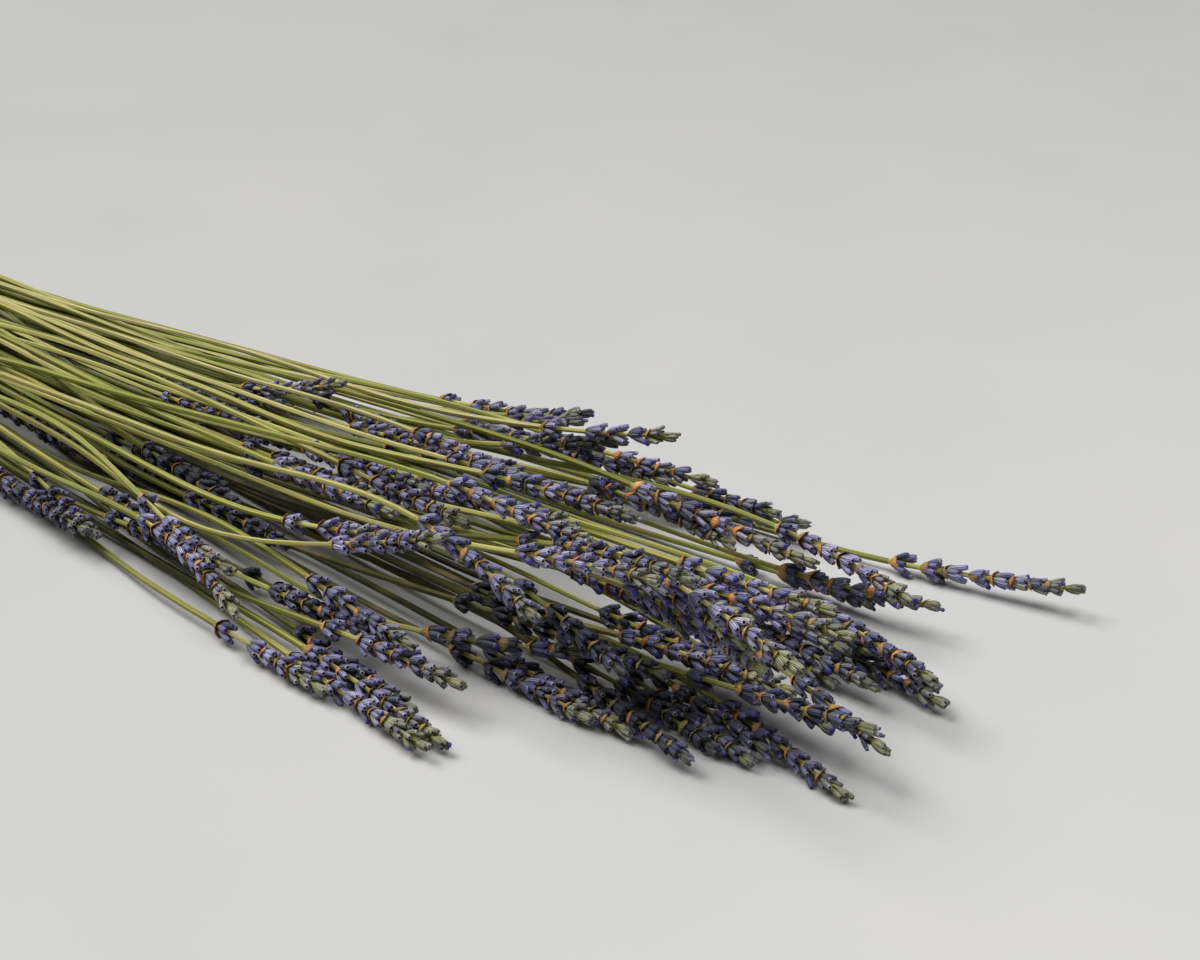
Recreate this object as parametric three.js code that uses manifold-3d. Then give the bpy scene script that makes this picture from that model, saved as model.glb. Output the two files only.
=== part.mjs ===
// A bunch of dried lavender that lies loose on a flat surface.
// X runs along the bunch from the cut ends of the stems to the flower heads,
// Y runs across it and Z is up. All lengths are in millimetres, all angles in degrees.
// The origin is on the surface, under the middle of the bunch.
import * as THREE from 'three';
import Module from 'manifold-3d';

const wasm = await Module();
wasm.setup();

// Driving dimensions of one sprig
const STEM_HALF_DIAGONAL = 1.05;
const STEM_TIP_SCALE = 0.8;
const STEM_TO_HEAD_GAP = 0.5;
const HEAD_RADIUS = 4.3;
const SMALLEST_GIRTH = 0.84;
const FOOT_REACH = 0.8;
const TIP_REACH = 0.5;
const WIDEST_PLACE = 0.2;
const TAPER = 1.6;
const CORE_RADIUS = 1.9;
const CORE_TIP_SCALE = 0.6;
const BARE_CORE_SCALE = 0.62;
const WHORL_SPACING = 8.5;
const LOWER_WHORL_SPACING = 11;
const FEWEST_WHORLS = 4;
const FLORETS_PER_WHORL = 4;
const FLORET_LEAN = 1.1;
const LOW_WHORL_SHARE = 0.4;

// Driving dimensions of the bunch
const CUT_END_SPREAD = 14;
const MEETING_SECTION = 1;
const MEETING_WIDTH = [-56, 14];
const MEETING_SHIFT = 5;
const MEETING_HEIGHT = [2, 16];
const MEETING_TILT = 20;
const MEETING_PITCH = 1.22;
const RANKED_BEHIND_TIP = 40;
const LENGTH_BURIES = 0.2;
const CORE_HEIGHT = 14;
const CLIMB_RUN = 80;
const STEEPEST_CLIMB = 0.3;
const SPREAD_PER_STEM = 0.03;
const CUT_END_SLOPE_KEPT = 0.3;
const MEETING_SLOPE_KEPT = 0.5;
const HEAD_BEARING_KEPT = 0.7;
const HEAD_RISE_KEPT = 0.4;
const ROOM_BETWEEN_PIECES = 0.55;
const ROOM_WITHIN_STRAND = 1.05;
const ORIGIN_IN_BUNCH = [210, -12.91];

// The strands of neighbouring sprigs. Each head is given by the place of its tip along,
// across and above, its bearing, its rise and its length. Each strand also holds
// some lower sprigs, which a rule places under its first head.
const STRANDS = [
  { heads: [[410, 60, 10, 15, 6, 52]], lower: 0 },
  { heads: [[338, 49, 20, 25, 9, 42], [332, 37, 22, 5, -2, 42]], lower: 1 },
  { heads: [[314, 42, 24, 15, -2, 46]], lower: 1 },
  { heads: [[256, 55, 24, 25, 13, 44], [257, 42, 20, 20, 12, 40]], lower: 1 },
  { heads: [[293, 31, 28, 20, 14, 40], [308, 25, 28, 16, 12, 42]], lower: 1 },
  { heads: [[360, 16, 28, 8, -3, 54], [389, 18, 20, -6, -8, 46]], lower: 1 },
  { heads: [[390, 35, 10, 13, 3, 44]], lower: 1 },
  { heads: [[410, 9, 10, -9, -4, 42], [413, 3, 6, -10, -2, 38]], lower: 1 },
  { heads: [[415, -7, 8, -13, -6, 44], [389, 5, 20, 2, 0, 42]], lower: 2 },
  { heads: [[420, -28, 16, -12, -6, 44]], lower: 2 },
  { heads: [[420, -42, 24, 5, 5, 50]], lower: 2 },
  { heads: [[418, -40, 6, -12, -5, 44], [397, -41, 7, -6, -4, 40]], lower: 2 },
  { heads: [[414, -52, 36, -12, -2, 46], [396, -58, 30, -10, -4, 44]], lower: 2 },
  { heads: [[387, -48, 6, -11, -4, 42]], lower: 2 },
  { heads: [[373, -58, 18, 5, 0, 66], [366, -58, 14, -12, -10, 44], [347, -53, 7, 32, 2, 44]], lower: 1 },
  { heads: [[342, -83, 8, -8, -3, 56], [341, -89, 6, -4, 1, 56], [306, -96, 6, -6, 0, 44]], lower: 1 },
  {
    heads: [[273, -88, 8, -15, -8, 54], [246, -79, 8, -5, 3, 46],
      [240, -70, 18, -2, 4, 46], [262, -76, 15, -7, 0, 46]],
    lower: 0,
  },
  { heads: [[207, -78, 8, -14, -2, 42], [206, -71, 16, -3, 0, 54]], lower: 1 },
  { heads: [[165, -56, 18, -3, 0, 44]], lower: 2 },
  { heads: [[221, -40, 24, 2, 2, 52], [236, -49, 22, 0, 0, 46], [254, -60, 20, -4, 0, 44]], lower: 0 },
  { heads: [[221, -21, 26, 5, 5, 46]], lower: 2 },
  { heads: [[209, 7, 26, 14, 16, 42]], lower: 2 },
  { heads: [[281, -45, 28, -2, 1, 58], [308, -44, 34, 0, 2, 48], [287, -55, 24, 8, 0, 44]], lower: 1 },
  { heads: [[318, -72, 40, 10, 22, 40], [350, -71, 34, -13, -6, 48]], lower: 1 },
  { heads: [[375, -59, 44, 0, 10, 44], [383, -52, 40, -3, 6, 58]], lower: 1 },
  { heads: [[401, -20, 34, 3, 3, 60]], lower: 2 },
  { heads: [[281, -3, 30, 8, 9, 50]], lower: 2 },
  { heads: [[322, -25, 34, 5, 5, 54]], lower: 2 },
  { heads: [[331, -10, 34, 4, 1, 48]], lower: 2 },
  {
    heads: [[310, -66, 12, 8, 0, 46], [334, -71, 14, 3, 0, 46],
      [290, -71, 9, -4, 0, 44], [318, -76, 18, -6, 0, 42]],
    lower: 0,
  },
];
const LOWER_BACK = [8, 24];
const LOWER_ASIDE = [6, 10];
const LOWER_DROP = [2, 6];
const LOWER_LENGTH = [42, 52];
const LOWER_LIES_FLATTER = 0.6;
const LOWER_TURN = 5;
const LOWEST_TIP = 4.5;
const EARLIEST_TIP = 165;
const MIDDLE_LINE = -18;
const NEAR_EDGE = 30;

// How the stems settle against each other
const SECTION_STEP = 60;
const SECTIONS = 9;
const STEPS_PER_SECTION = 10;
const SETTLING_ROUNDS = 600;
const FREE_ROUNDS = 260;
const GROWING_ROUNDS = 250;
const FIRST_SIZE = 0.3;
const STEM_MOBILITY = 1;
const HEAD_MOBILITY = 0.4;
const PULL_HOME = 0.1;
const LOWER_PULL_HOME = 0.02;
const STEM_PULL_HOME = 0.01;
const STIFFNESS = 0.35;
const CALM_STIFFNESS = 0.4;
const PUSH_GAIN = 1.3;
const SINKING = 0.05;
const LAST_ROUNDS = 120;
const TIE_PLACE = 0.6;
const HEADS_TIED_AT = 0.56;
const HEADS_APART_AT = 0.74;
const STEMS_APART_AT = 0.9;
const HEADS_ABOVE_SURFACE_AT = 0.85;
const STEMS_ABOVE_SURFACE_AT = 0.7;
const DIRECTION_REACH = 10;

const degrees = Math.PI / 180;

// Seeded random numbers between 0 and 1
function randomSource(seed) {
  let state = seed;
  return () => {
    state = (state + 0x6d2b79f5) | 0;
    let mixed = Math.imul(state ^ (state >>> 15), 1 | state);
    mixed = (mixed + Math.imul(mixed ^ (mixed >>> 7), 61 | mixed)) ^ mixed;
    return ((mixed ^ (mixed >>> 14)) >>> 0) / 4294967296;
  };
}

const mix = (from, to, part) => from + (to - from) * part;

// The line of a sprig's head, before the sprigs settle
function homeAt(sprig, x) {
  return [sprig.tipY + (x - sprig.tipX) * sprig.slopeY, sprig.tipZ + (x - sprig.tipX) * sprig.slopeZ];
}

// One sprig, from its head's place: the line of the head, and where the head begins
function makeSprig(strand, [tipX, tipY, tipZ, bearing, rise, length], isLower, random) {
  const along = Math.cos(rise * degrees) * Math.cos(bearing * degrees) * length;
  return {
    strand,
    isLower,
    tipX,
    tipY,
    tipZ,
    baseX: tipX - along,
    slopeY: Math.tan(bearing * degrees),
    slopeZ: Math.tan(rise * degrees) / Math.cos(bearing * degrees),
    cutX: random() * CUT_END_SPREAD,
    turn: random() * 360,
    girth: mix(SMALLEST_GIRTH, 1, random()),
    lowWhorl: random() < LOW_WHORL_SHARE,
  };
}

// All the sprigs: the heads that are given, and the lower ones of each strand
function makeSprigs() {
  const random = randomSource(7);
  const sprigs = [];
  STRANDS.forEach(({ heads, lower }, strand) => {
    heads.forEach((head) => sprigs.push(makeSprig(strand, head, false, random)));
    let [tipX, tipY, tipZ, bearing, rise] = heads[0];
    const offMiddle = tipY - MIDDLE_LINE;
    const side = Math.abs(offMiddle) > NEAR_EDGE ? -Math.sign(offMiddle) : 1 - 2 * (strand % 2);
    for (let i = 0; i < lower; i += 1) {
      const back = mix(...LOWER_BACK, random());
      tipX += tipX - back < EARLIEST_TIP ? back : -back;
      tipY += side * mix(...LOWER_ASIDE, random());
      tipZ = Math.max(LOWEST_TIP, tipZ - mix(...LOWER_DROP, random()));
      bearing = bearing * LOWER_LIES_FLATTER + mix(-LOWER_TURN, LOWER_TURN, random());
      rise *= LOWER_LIES_FLATTER;
      const place = [tipX, tipY, tipZ, bearing, rise, mix(...LOWER_LENGTH, random())];
      sprigs.push(makeSprig(strand, place, true, random));
    }
  });
  return sprigs;
}

// Where each strand's stems meet near their cut ends
function placeMeetings(sprigs) {
  const random = randomSource(24);
  const strands = STRANDS.map((_, strand) => {
    const members = sprigs.filter((sprig) => sprig.strand === strand);
    const mean = (value) => members.reduce((sum, sprig) => sum + value(sprig), 0) / members.length;
    return {
      across: mean((sprig) => sprig.tipY - RANKED_BEHIND_TIP * sprig.slopeY),
      height: mean((sprig) => sprig.tipZ - LENGTH_BURIES * sprig.tipX),
    };
  });
  const rank = (key) => {
    const order = [...strands].sort((a, b) => a[key] - b[key]);
    return (strand) => order.indexOf(strand) / (strands.length - 1);
  };
  const acrossRank = rank('across');
  const heightRank = rank('height');
  return strands.map((strand) => ({
    y: mix(...MEETING_WIDTH, acrossRank(strand)) + mix(-MEETING_SHIFT, MEETING_SHIFT, random()),
    z: mix(...MEETING_HEIGHT, heightRank(strand)),
    tilt: mix(-MEETING_TILT, MEETING_TILT, random()) * degrees,
  }));
}

// A smooth curve between two values with given slopes at its ends
function hermite(from, slopeFrom, to, slopeTo, span, part) {
  const square = part * part;
  const cube = square * part;
  return (
    from * (2 * cube - 3 * square + 1) +
    slopeFrom * span * (cube - 2 * square + part) +
    to * (3 * square - 2 * cube) +
    slopeTo * span * (cube - square)
  );
}

// The free course of a sprig at a distance along the bunch, before the sprigs settle
function freeCourse(sprig, meeting, aside, x) {
  const start = MEETING_SECTION * SECTION_STEP;
  const [baseY, baseZ] = homeAt(sprig, sprig.baseX);
  if (x >= sprig.baseX) return homeAt(sprig, x);
  const span = sprig.baseX - start;
  const startY = meeting.y + aside * MEETING_PITCH * Math.cos(meeting.tilt);
  const startZ = meeting.z + aside * MEETING_PITCH * Math.sin(meeting.tilt);
  const slopeY = (baseY - startY) / span + SPREAD_PER_STEM * aside;
  const slopeZ = (baseZ - startZ) / span;
  const climb = Math.min(STEEPEST_CLIMB, Math.max(0, (baseZ - CORE_HEIGHT) / CLIMB_RUN));
  if (x < start) {
    return [startY + (x - start) * slopeY, startZ + (x - start) * slopeZ * CUT_END_SLOPE_KEPT];
  }
  const part = (x - start) / span;
  return [
    hermite(startY, slopeY, baseY, sprig.slopeY * HEAD_BEARING_KEPT, span, part),
    hermite(startZ, slopeZ * MEETING_SLOPE_KEPT, baseZ, sprig.slopeZ * HEAD_RISE_KEPT + climb, span, part),
  ];
}

// The outline of a head: its reach from the axis, from its base (0) to its tip (1)
function reachAt(sprig, part) {
  const foot = mix(FOOT_REACH, 1, part / WIDEST_PLACE);
  const tip = mix(1, TIP_REACH, Math.max(0, (part - WIDEST_PLACE) / (1 - WIDEST_PLACE)) ** TAPER);
  return HEAD_RADIUS * sprig.girth * (part < WIDEST_PLACE ? foot : tip);
}

// Half the room that a sprig needs at a distance along the bunch, or 0 where it isn't
function roomAt(sprig, x) {
  if (x < sprig.cutX || x > sprig.tipX) return 0;
  if (x < sprig.baseX) return STEM_HALF_DIAGONAL;
  return reachAt(sprig, (x - sprig.baseX) / (sprig.tipX - sprig.baseX));
}

// Settle the sprigs, so that none crosses a neighbour or the surface
function settle(sprigs, meetings) {
  const steps = (SECTIONS - 1) * STEPS_PER_SECTION + 1;
  const stepX = (step) => (step / STEPS_PER_SECTION) * SECTION_STEP;
  sprigs.forEach((sprig) => {
    const members = sprigs.filter((other) => other.strand === sprig.strand);
    sprig.aside = members.indexOf(sprig) - (members.length - 1) / 2;
    sprig.home = [];
    for (let k = 0; k < SECTIONS; k += 1) {
      sprig.home.push(freeCourse(sprig, meetings[sprig.strand], sprig.aside, k * SECTION_STEP));
    }
    sprig.course = sprig.home.map((point) => [...point]);
    sprig.room = Array.from({ length: steps }, (_, step) => roomAt(sprig, stepX(step)));
    sprig.isHead = Array.from({ length: steps }, (_, step) => stepX(step) >= sprig.baseX);
  });
  const ties = findTies(sprigs);

  const at = (course, step) => {
    const section = Math.min(Math.floor(step / STEPS_PER_SECTION), SECTIONS - 2);
    const part = step / STEPS_PER_SECTION - section;
    return [
      mix(course[section][0], course[section + 1][0], part),
      mix(course[section][1], course[section + 1][1], part),
    ];
  };
  const shares = (step) => {
    const section = Math.min(Math.floor(step / STEPS_PER_SECTION), SECTIONS - 2);
    const part = step / STEPS_PER_SECTION - section;
    const scale = 1 / ((1 - part) ** 2 + part ** 2);
    return [section, (1 - part) * scale, part * scale];
  };

  // Stems straighten between their meeting and their head, until the free rounds keep the shape
  // they have; the bunch sinks under its weight until the last rounds part what still crosses
  const free = SETTLING_ROUNDS - FREE_ROUNDS;
  for (let round = 0; round < SETTLING_ROUNDS; round += 1) {
    const calm = Math.max(0, 1 - round / free);
    const sinking = round < SETTLING_ROUNDS - LAST_ROUNDS ? SINKING : 0;
    if (round === free) {
      sprigs.forEach((sprig) => {
        sprig.home = sprig.course.map((point) => [...point]);
      });
    }
    const grown = Math.min(1, mix(FIRST_SIZE, 1, round / GROWING_ROUNDS));
    const pushes = sprigs.map(() => Array.from({ length: SECTIONS }, () => [0, 0, 0]));
    const push = (i, step, y, z) => {
      const [section, first, second] = shares(step);
      [[section, first], [section + 1, second]].forEach(([k, share]) => {
        if (share <= 0) return;
        pushes[i][k][0] += y * share;
        pushes[i][k][1] += z * share;
        pushes[i][k][2] += share;
      });
    };
    for (let step = 0; step < steps; step += 1) {
      const here = sprigs.map((sprig) => at(sprig.course, step));
      for (let i = 0; i < sprigs.length; i += 1) {
        if (sprigs[i].room[step] === 0) continue;
        const mobile = sprigs[i].isHead[step] ? HEAD_MOBILITY : STEM_MOBILITY;
        const above = sprigs[i].isHead[step] ? HEADS_ABOVE_SURFACE_AT : STEMS_ABOVE_SURFACE_AT;
        const low = sprigs[i].room[step] * above - here[i][1];
        if (low > 0) push(i, step, 0, low);
        for (let j = i + 1; j < sprigs.length; j += 1) {
          if (sprigs[j].room[step] === 0) continue;
          const sameStrand = sprigs[i].strand === sprigs[j].strand;
          const alike = sameStrand && sprigs[i].isHead[step] === sprigs[j].isHead[step];
          const touch = sprigs[i].room[step] + sprigs[j].room[step];
          const closest = sprigs[i].isHead[step] ? HEADS_APART_AT : STEMS_APART_AT;
          const room = sameStrand ? ROOM_WITHIN_STRAND : ROOM_BETWEEN_PIECES;
          const wanted = grown * (alike ? touch * closest : touch + room);
          const y = here[j][0] - here[i][0];
          const z = here[j][1] - here[i][1];
          const gap = Math.hypot(y, z);
          if (gap >= wanted) continue;
          const other = sprigs[j].isHead[step] ? HEAD_MOBILITY : STEM_MOBILITY;
          const away = (wanted - gap) / Math.max(gap, 0.01) / (mobile + other);
          push(i, step, -y * away * mobile, -z * away * mobile);
          push(j, step, y * away * other, z * away * other);
        }
      }
    }
    sprigs.forEach((sprig, i) => {
      const { course, home, isLower, baseX } = sprig;
      const headPull = isLower ? LOWER_PULL_HOME : PULL_HOME;
      const stiff = STIFFNESS * mix(CALM_STIFFNESS, 1, calm);
      course.forEach((point, k) => {
        const [y, z, count] = pushes[i][k];
        const scale = PUSH_GAIN / Math.max(1, count);
        point[0] += y * scale;
        point[1] += z * scale - sinking;
      });
      const strayed = course.map((point, k) => [point[0] - home[k][0], point[1] - home[k][1]]);
      const line = course.map((point) => [...point]);
      course.forEach((point, k) => {
        const isHead = (k + 1) * SECTION_STEP > baseX;
        const shape = isHead || round >= free || k === 0 ? strayed : line;
        const before = shape[Math.max(0, k - 1)];
        const after = shape[Math.min(SECTIONS - 1, k + 1)];
        const pull = calm * (isHead ? headPull : STEM_PULL_HOME);
        for (let axis = 0; axis < 2; axis += 1) {
          const bend = (before[axis] + after[axis]) / 2 - shape[k][axis];
          point[axis] += stiff * bend - pull * strayed[k][axis];
        }
      });
    });
    keepTies(sprigs, ties, meetings, at, shares);
  }
}

// Which heads of a strand press against each other, and where: each is tied to the nearest one before it
function findTies(sprigs) {
  const ties = [];
  sprigs.forEach((sprig, i) => {
    let best = null;
    for (let j = i - 1; j >= 0 && sprigs[j].strand === sprig.strand; j -= 1) {
      const from = Math.max(sprig.baseX, sprigs[j].baseX);
      const to = Math.min(sprig.tipX, sprigs[j].tipX);
      const x = mix(from, to, TIE_PLACE);
      const [one, other] = [homeAt(sprig, x), homeAt(sprigs[j], x)];
      const apart = Math.hypot(one[0] - other[0], one[1] - other[1]) - (to - from);
      if (best === null || apart < best.apart) best = { apart, j, x };
    }
    if (best) ties.push([best.j, i, Math.round((best.x / SECTION_STEP) * STEPS_PER_SECTION)]);
  });
  return ties;
}

// Hold the strand's stems side by side where they meet, and its heads against each other
function keepTies(sprigs, ties, meetings, at, shares) {
  meetings.forEach((meeting, strand) => {
    const members = sprigs.filter((sprig) => sprig.strand === strand);
    const mean = [0, 1].map((axis) =>
      members.reduce((sum, sprig) => sum + sprig.course[MEETING_SECTION][axis], 0) / members.length);
    members.forEach((sprig) => {
      sprig.course[MEETING_SECTION][0] = mean[0] + sprig.aside * MEETING_PITCH * Math.cos(meeting.tilt);
      sprig.course[MEETING_SECTION][1] = mean[1] + sprig.aside * MEETING_PITCH * Math.sin(meeting.tilt);
    });
  });
  ties.forEach(([i, j, step]) => {
    const wanted = HEADS_TIED_AT * (sprigs[i].room[step] + sprigs[j].room[step]);
    const [one, other] = [at(sprigs[i].course, step), at(sprigs[j].course, step)];
    const y = other[0] - one[0];
    const z = other[1] - one[1];
    const gap = Math.hypot(y, z);
    if (gap <= wanted) return;
    const pull = ((gap - wanted) / gap) * 0.5;
    const [section, first, second] = shares(step);
    [[section, first], [section + 1, second]].forEach(([k, share]) => {
      sprigs[i].course[k][0] += y * pull * share;
      sprigs[i].course[k][1] += z * pull * share;
      sprigs[j].course[k][0] -= y * pull * share;
      sprigs[j].course[k][1] -= z * pull * share;
    });
  });
}

// The point of a settled sprig at a distance along the bunch
function pointAt(sprig, x) {
  const section = Math.min(Math.max(Math.floor(x / SECTION_STEP), 0), SECTIONS - 2);
  const part = x / SECTION_STEP - section;
  const [from, to] = [sprig.course[section], sprig.course[section + 1]];
  return new THREE.Vector3(x, mix(from[0], to[0], part), mix(from[1], to[1], part));
}

// A ring of points round a sprig, square to it
function ringAt(sprig, x, radius, sides, turn) {
  const centre = pointAt(sprig, x);
  const ahead = pointAt(sprig, x + DIRECTION_REACH).sub(pointAt(sprig, x - DIRECTION_REACH)).normalize();
  const side = new THREE.Vector3(0, 0, 1).cross(ahead).normalize();
  const up = ahead.clone().cross(side);
  return Array.from({ length: sides }, (_, i) => {
    const angle = (turn + (i * 360) / sides) * degrees;
    return centre.clone()
      .addScaledVector(side, Math.cos(angle) * radius)
      .addScaledVector(up, Math.sin(angle) * radius);
  });
}

// A closed solid from points and the triangles between them, pressed flat on the surface
function solidFrom(points, triangles) {
  const vertProperties = new Float32Array(points.length * 3);
  points.forEach((point, i) => {
    const [originX, originY] = ORIGIN_IN_BUNCH;
    vertProperties.set([point.x - originX, point.y - originY, Math.max(0, point.z)], i * 3);
  });
  const triVerts = new Uint32Array(triangles.flat());
  return new wasm.Manifold(new wasm.Mesh({ numProp: 3, vertProperties, triVerts }));
}

// The square stem of a sprig, from its cut end to the foot of its head
function makeStem(sprig) {
  const end = sprig.baseX - STEM_TO_HEAD_GAP;
  const places = [sprig.cutX];
  for (let k = 1; k * SECTION_STEP < end - 4; k += 1) places.push(k * SECTION_STEP);
  places.push(end);
  const points = [];
  const triangles = [];
  places.forEach((x, row) => {
    const radius = STEM_HALF_DIAGONAL * mix(1, STEM_TIP_SCALE, row / (places.length - 1));
    points.push(...ringAt(sprig, x, radius, 4, 45));
    if (row === 0) return;
    for (let i = 0; i < 4; i += 1) {
      const [a, b] = [(row - 1) * 4 + i, (row - 1) * 4 + ((i + 1) % 4)];
      triangles.push([a, b, b + 4], [a, b + 4, a + 4]);
    }
  });
  const last = points.length - 4;
  triangles.push([0, 2, 1], [0, 3, 2], [last, last + 1, last + 2], [last, last + 2, last + 3]);
  return solidFrom(points, triangles);
}

// The flower head of a sprig: whorls of forward-leaning florets raised from a slim core
function makeHead(sprig) {
  const sides = FLORETS_PER_WHORL;
  const length = sprig.tipX - sprig.baseX;
  const pitch = sprig.isLower ? LOWER_WHORL_SPACING : WHORL_SPACING;
  const whorls = Math.max(FEWEST_WHORLS, Math.round(length / pitch) - 1);
  const spacing = length / (whorls + (sprig.lowWhorl ? 1.9 : 0.9));
  const points = [];
  const triangles = [];
  const stages = [];
  let x = sprig.baseX;
  for (let whorl = 0; whorl < whorls; whorl += 1) {
    stages.push({ x, raised: true });
    x += spacing;
    if (whorl === 0 && sprig.lowWhorl) {
      stages.push({ x, raised: false });
      x += spacing;
    }
  }
  stages.push({ x, raised: false });
  stages.forEach((stage, row) => {
    const part = (stage.x - sprig.baseX) / length;
    const bare = sprig.lowWhorl && row < 3;
    const radius = (bare ? BARE_CORE_SCALE : 1) * CORE_RADIUS * sprig.girth * mix(1, CORE_TIP_SCALE, part);
    points.push(...ringAt(sprig, stage.x, radius, sides, sprig.turn + (row * 180) / sides));
  });
  const tip = points.push(pointAt(sprig, sprig.tipX)) - 1;
  for (let row = 0; row + 1 < stages.length; row += 1) {
    for (let i = 0; i < sides; i += 1) {
      const corners = [i, (i + 1) % sides, ((i + 1) % sides) + sides, i + sides].map((n) => n + row * sides);
      if (!stages[row].raised) {
        triangles.push([corners[0], corners[1], corners[2]], [corners[0], corners[2], corners[3]]);
        continue;
      }
      const reach = reachAt(sprig, (stages[row].x + spacing / 2 - sprig.baseX) / length);
      const turn = sprig.turn + ((row + 1.5 + 2 * i) * 180) / sides;
      const out = ringAt(sprig, stages[row].x + spacing * FLORET_LEAN, reach, 1, turn)[0];
      const peak = points.push(out) - 1;
      corners.forEach((corner, n) => triangles.push([corner, corners[(n + 1) % 4], peak]));
    }
  }
  for (let i = 1; i + 1 < sides; i += 1) triangles.push([0, i + 1, i]);
  const top = (stages.length - 1) * sides;
  for (let i = 0; i < sides; i += 1) triangles.push([top + i, top + ((i + 1) % sides), tip]);
  return solidFrom(points, triangles);
}

// A named mesh from a solid
function meshFrom(name, solid, material) {
  const { vertProperties, triVerts } = solid.getMesh();
  const geometry = new THREE.BufferGeometry();
  geometry.setAttribute('position', new THREE.BufferAttribute(vertProperties, 3));
  geometry.setIndex(new THREE.BufferAttribute(triVerts, 1));
  geometry.computeVertexNormals();
  const mesh = new THREE.Mesh(geometry, material);
  mesh.name = name;
  return mesh;
}

const stemMaterial = () => new THREE.MeshStandardMaterial({ color: 0x8d8a55, roughness: 0.7, metalness: 0 });
const headMaterial = () => new THREE.MeshStandardMaterial({ color: 0x6a6684, roughness: 0.9, metalness: 0 });

const sprigs = makeSprigs();
settle(sprigs, placeMeetings(sprigs));

const bunch = new THREE.Group();
STRANDS.forEach((_, strand) => {
  const members = sprigs.filter((sprig) => sprig.strand === strand);
  const number = String(strand + 1).padStart(2, '0');
  const joined = (make) => members.map(make).reduce((whole, piece) => whole.add(piece));
  bunch.add(meshFrom(`stems_${number}`, joined(makeStem), stemMaterial()));
  bunch.add(meshFrom(`heads_${number}`, joined(makeHead), headMaterial()));
});

export default bunch;
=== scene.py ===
"""Looks of a loose bunch of dried lavender that lies on a pale table.

Lengths are in millimetres in the layout and turn to metres where a mesh is made.
X runs along the bunch from the cut ends to the flower heads, Y across it, Z up.
"""
import math
from functools import partial

import bpy
import numpy as np
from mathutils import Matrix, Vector


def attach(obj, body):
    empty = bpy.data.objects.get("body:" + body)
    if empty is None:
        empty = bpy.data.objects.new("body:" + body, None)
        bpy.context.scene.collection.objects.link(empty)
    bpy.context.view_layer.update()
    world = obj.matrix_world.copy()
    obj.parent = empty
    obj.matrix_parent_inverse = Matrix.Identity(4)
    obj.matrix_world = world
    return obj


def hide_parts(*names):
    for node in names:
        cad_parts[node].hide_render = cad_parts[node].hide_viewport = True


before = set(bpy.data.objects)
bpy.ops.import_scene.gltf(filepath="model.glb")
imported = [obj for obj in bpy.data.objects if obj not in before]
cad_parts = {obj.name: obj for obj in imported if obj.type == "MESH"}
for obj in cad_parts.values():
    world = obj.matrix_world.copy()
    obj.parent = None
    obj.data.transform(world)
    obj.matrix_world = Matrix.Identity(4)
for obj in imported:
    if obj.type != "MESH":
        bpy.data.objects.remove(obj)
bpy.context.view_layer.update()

MM = 0.001

# Camera at the photograph's viewing angle
CAMERA_PLACE = (442.97, -359.24, 263.8)
CAMERA_LOOK = (-0.6161, 0.6637, -0.4226)
CAMERA_LENS = 67.5
CAMERA_SENSOR = 36.0

camera_data = bpy.data.cameras.new("camera")
camera_data.lens = CAMERA_LENS
camera_data.sensor_width = CAMERA_SENSOR
camera_data.clip_start = 0.01
camera = bpy.data.objects.new("camera", camera_data)
camera.location = Vector(CAMERA_PLACE) * MM
camera.rotation_euler = Vector(CAMERA_LOOK).to_track_quat("-Z", "Y").to_euler()
bpy.context.scene.collection.objects.link(camera)
bpy.context.scene.camera = camera


# Sizes of one sprig
STEM_HALF_DIAGONAL = 1.05
STEM_TIP_SCALE = 0.8
STEM_TO_HEAD_GAP = 0.5
HEAD_RADIUS = 4.3
SMALLEST_GIRTH = 0.84
FOOT_REACH = 0.8
TIP_REACH = 0.5
WIDEST_PLACE = 0.2
TAPER = 1.6
LOW_WHORL_SHARE = 0.4

# Sizes of the bunch
CUT_END_SPREAD = 14
MEETING_SECTION = 1
MEETING_WIDTH = (-56, 14)
MEETING_SHIFT = 5
MEETING_HEIGHT = (2, 16)
MEETING_TILT = 20
MEETING_PITCH = 1.22
RANKED_BEHIND_TIP = 40
LENGTH_BURIES = 0.2
CORE_HEIGHT = 14
CLIMB_RUN = 80
STEEPEST_CLIMB = 0.3
SPREAD_PER_STEM = 0.03
CUT_END_SLOPE_KEPT = 0.3
MEETING_SLOPE_KEPT = 0.5
HEAD_BEARING_KEPT = 0.7
HEAD_RISE_KEPT = 0.4
ROOM_BETWEEN_PIECES = 0.55
ROOM_WITHIN_STRAND = 1.05
ORIGIN_IN_BUNCH = (210, -12.91)
LAYOUT_SEED = 7
MEETING_SEED = 24

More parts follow.
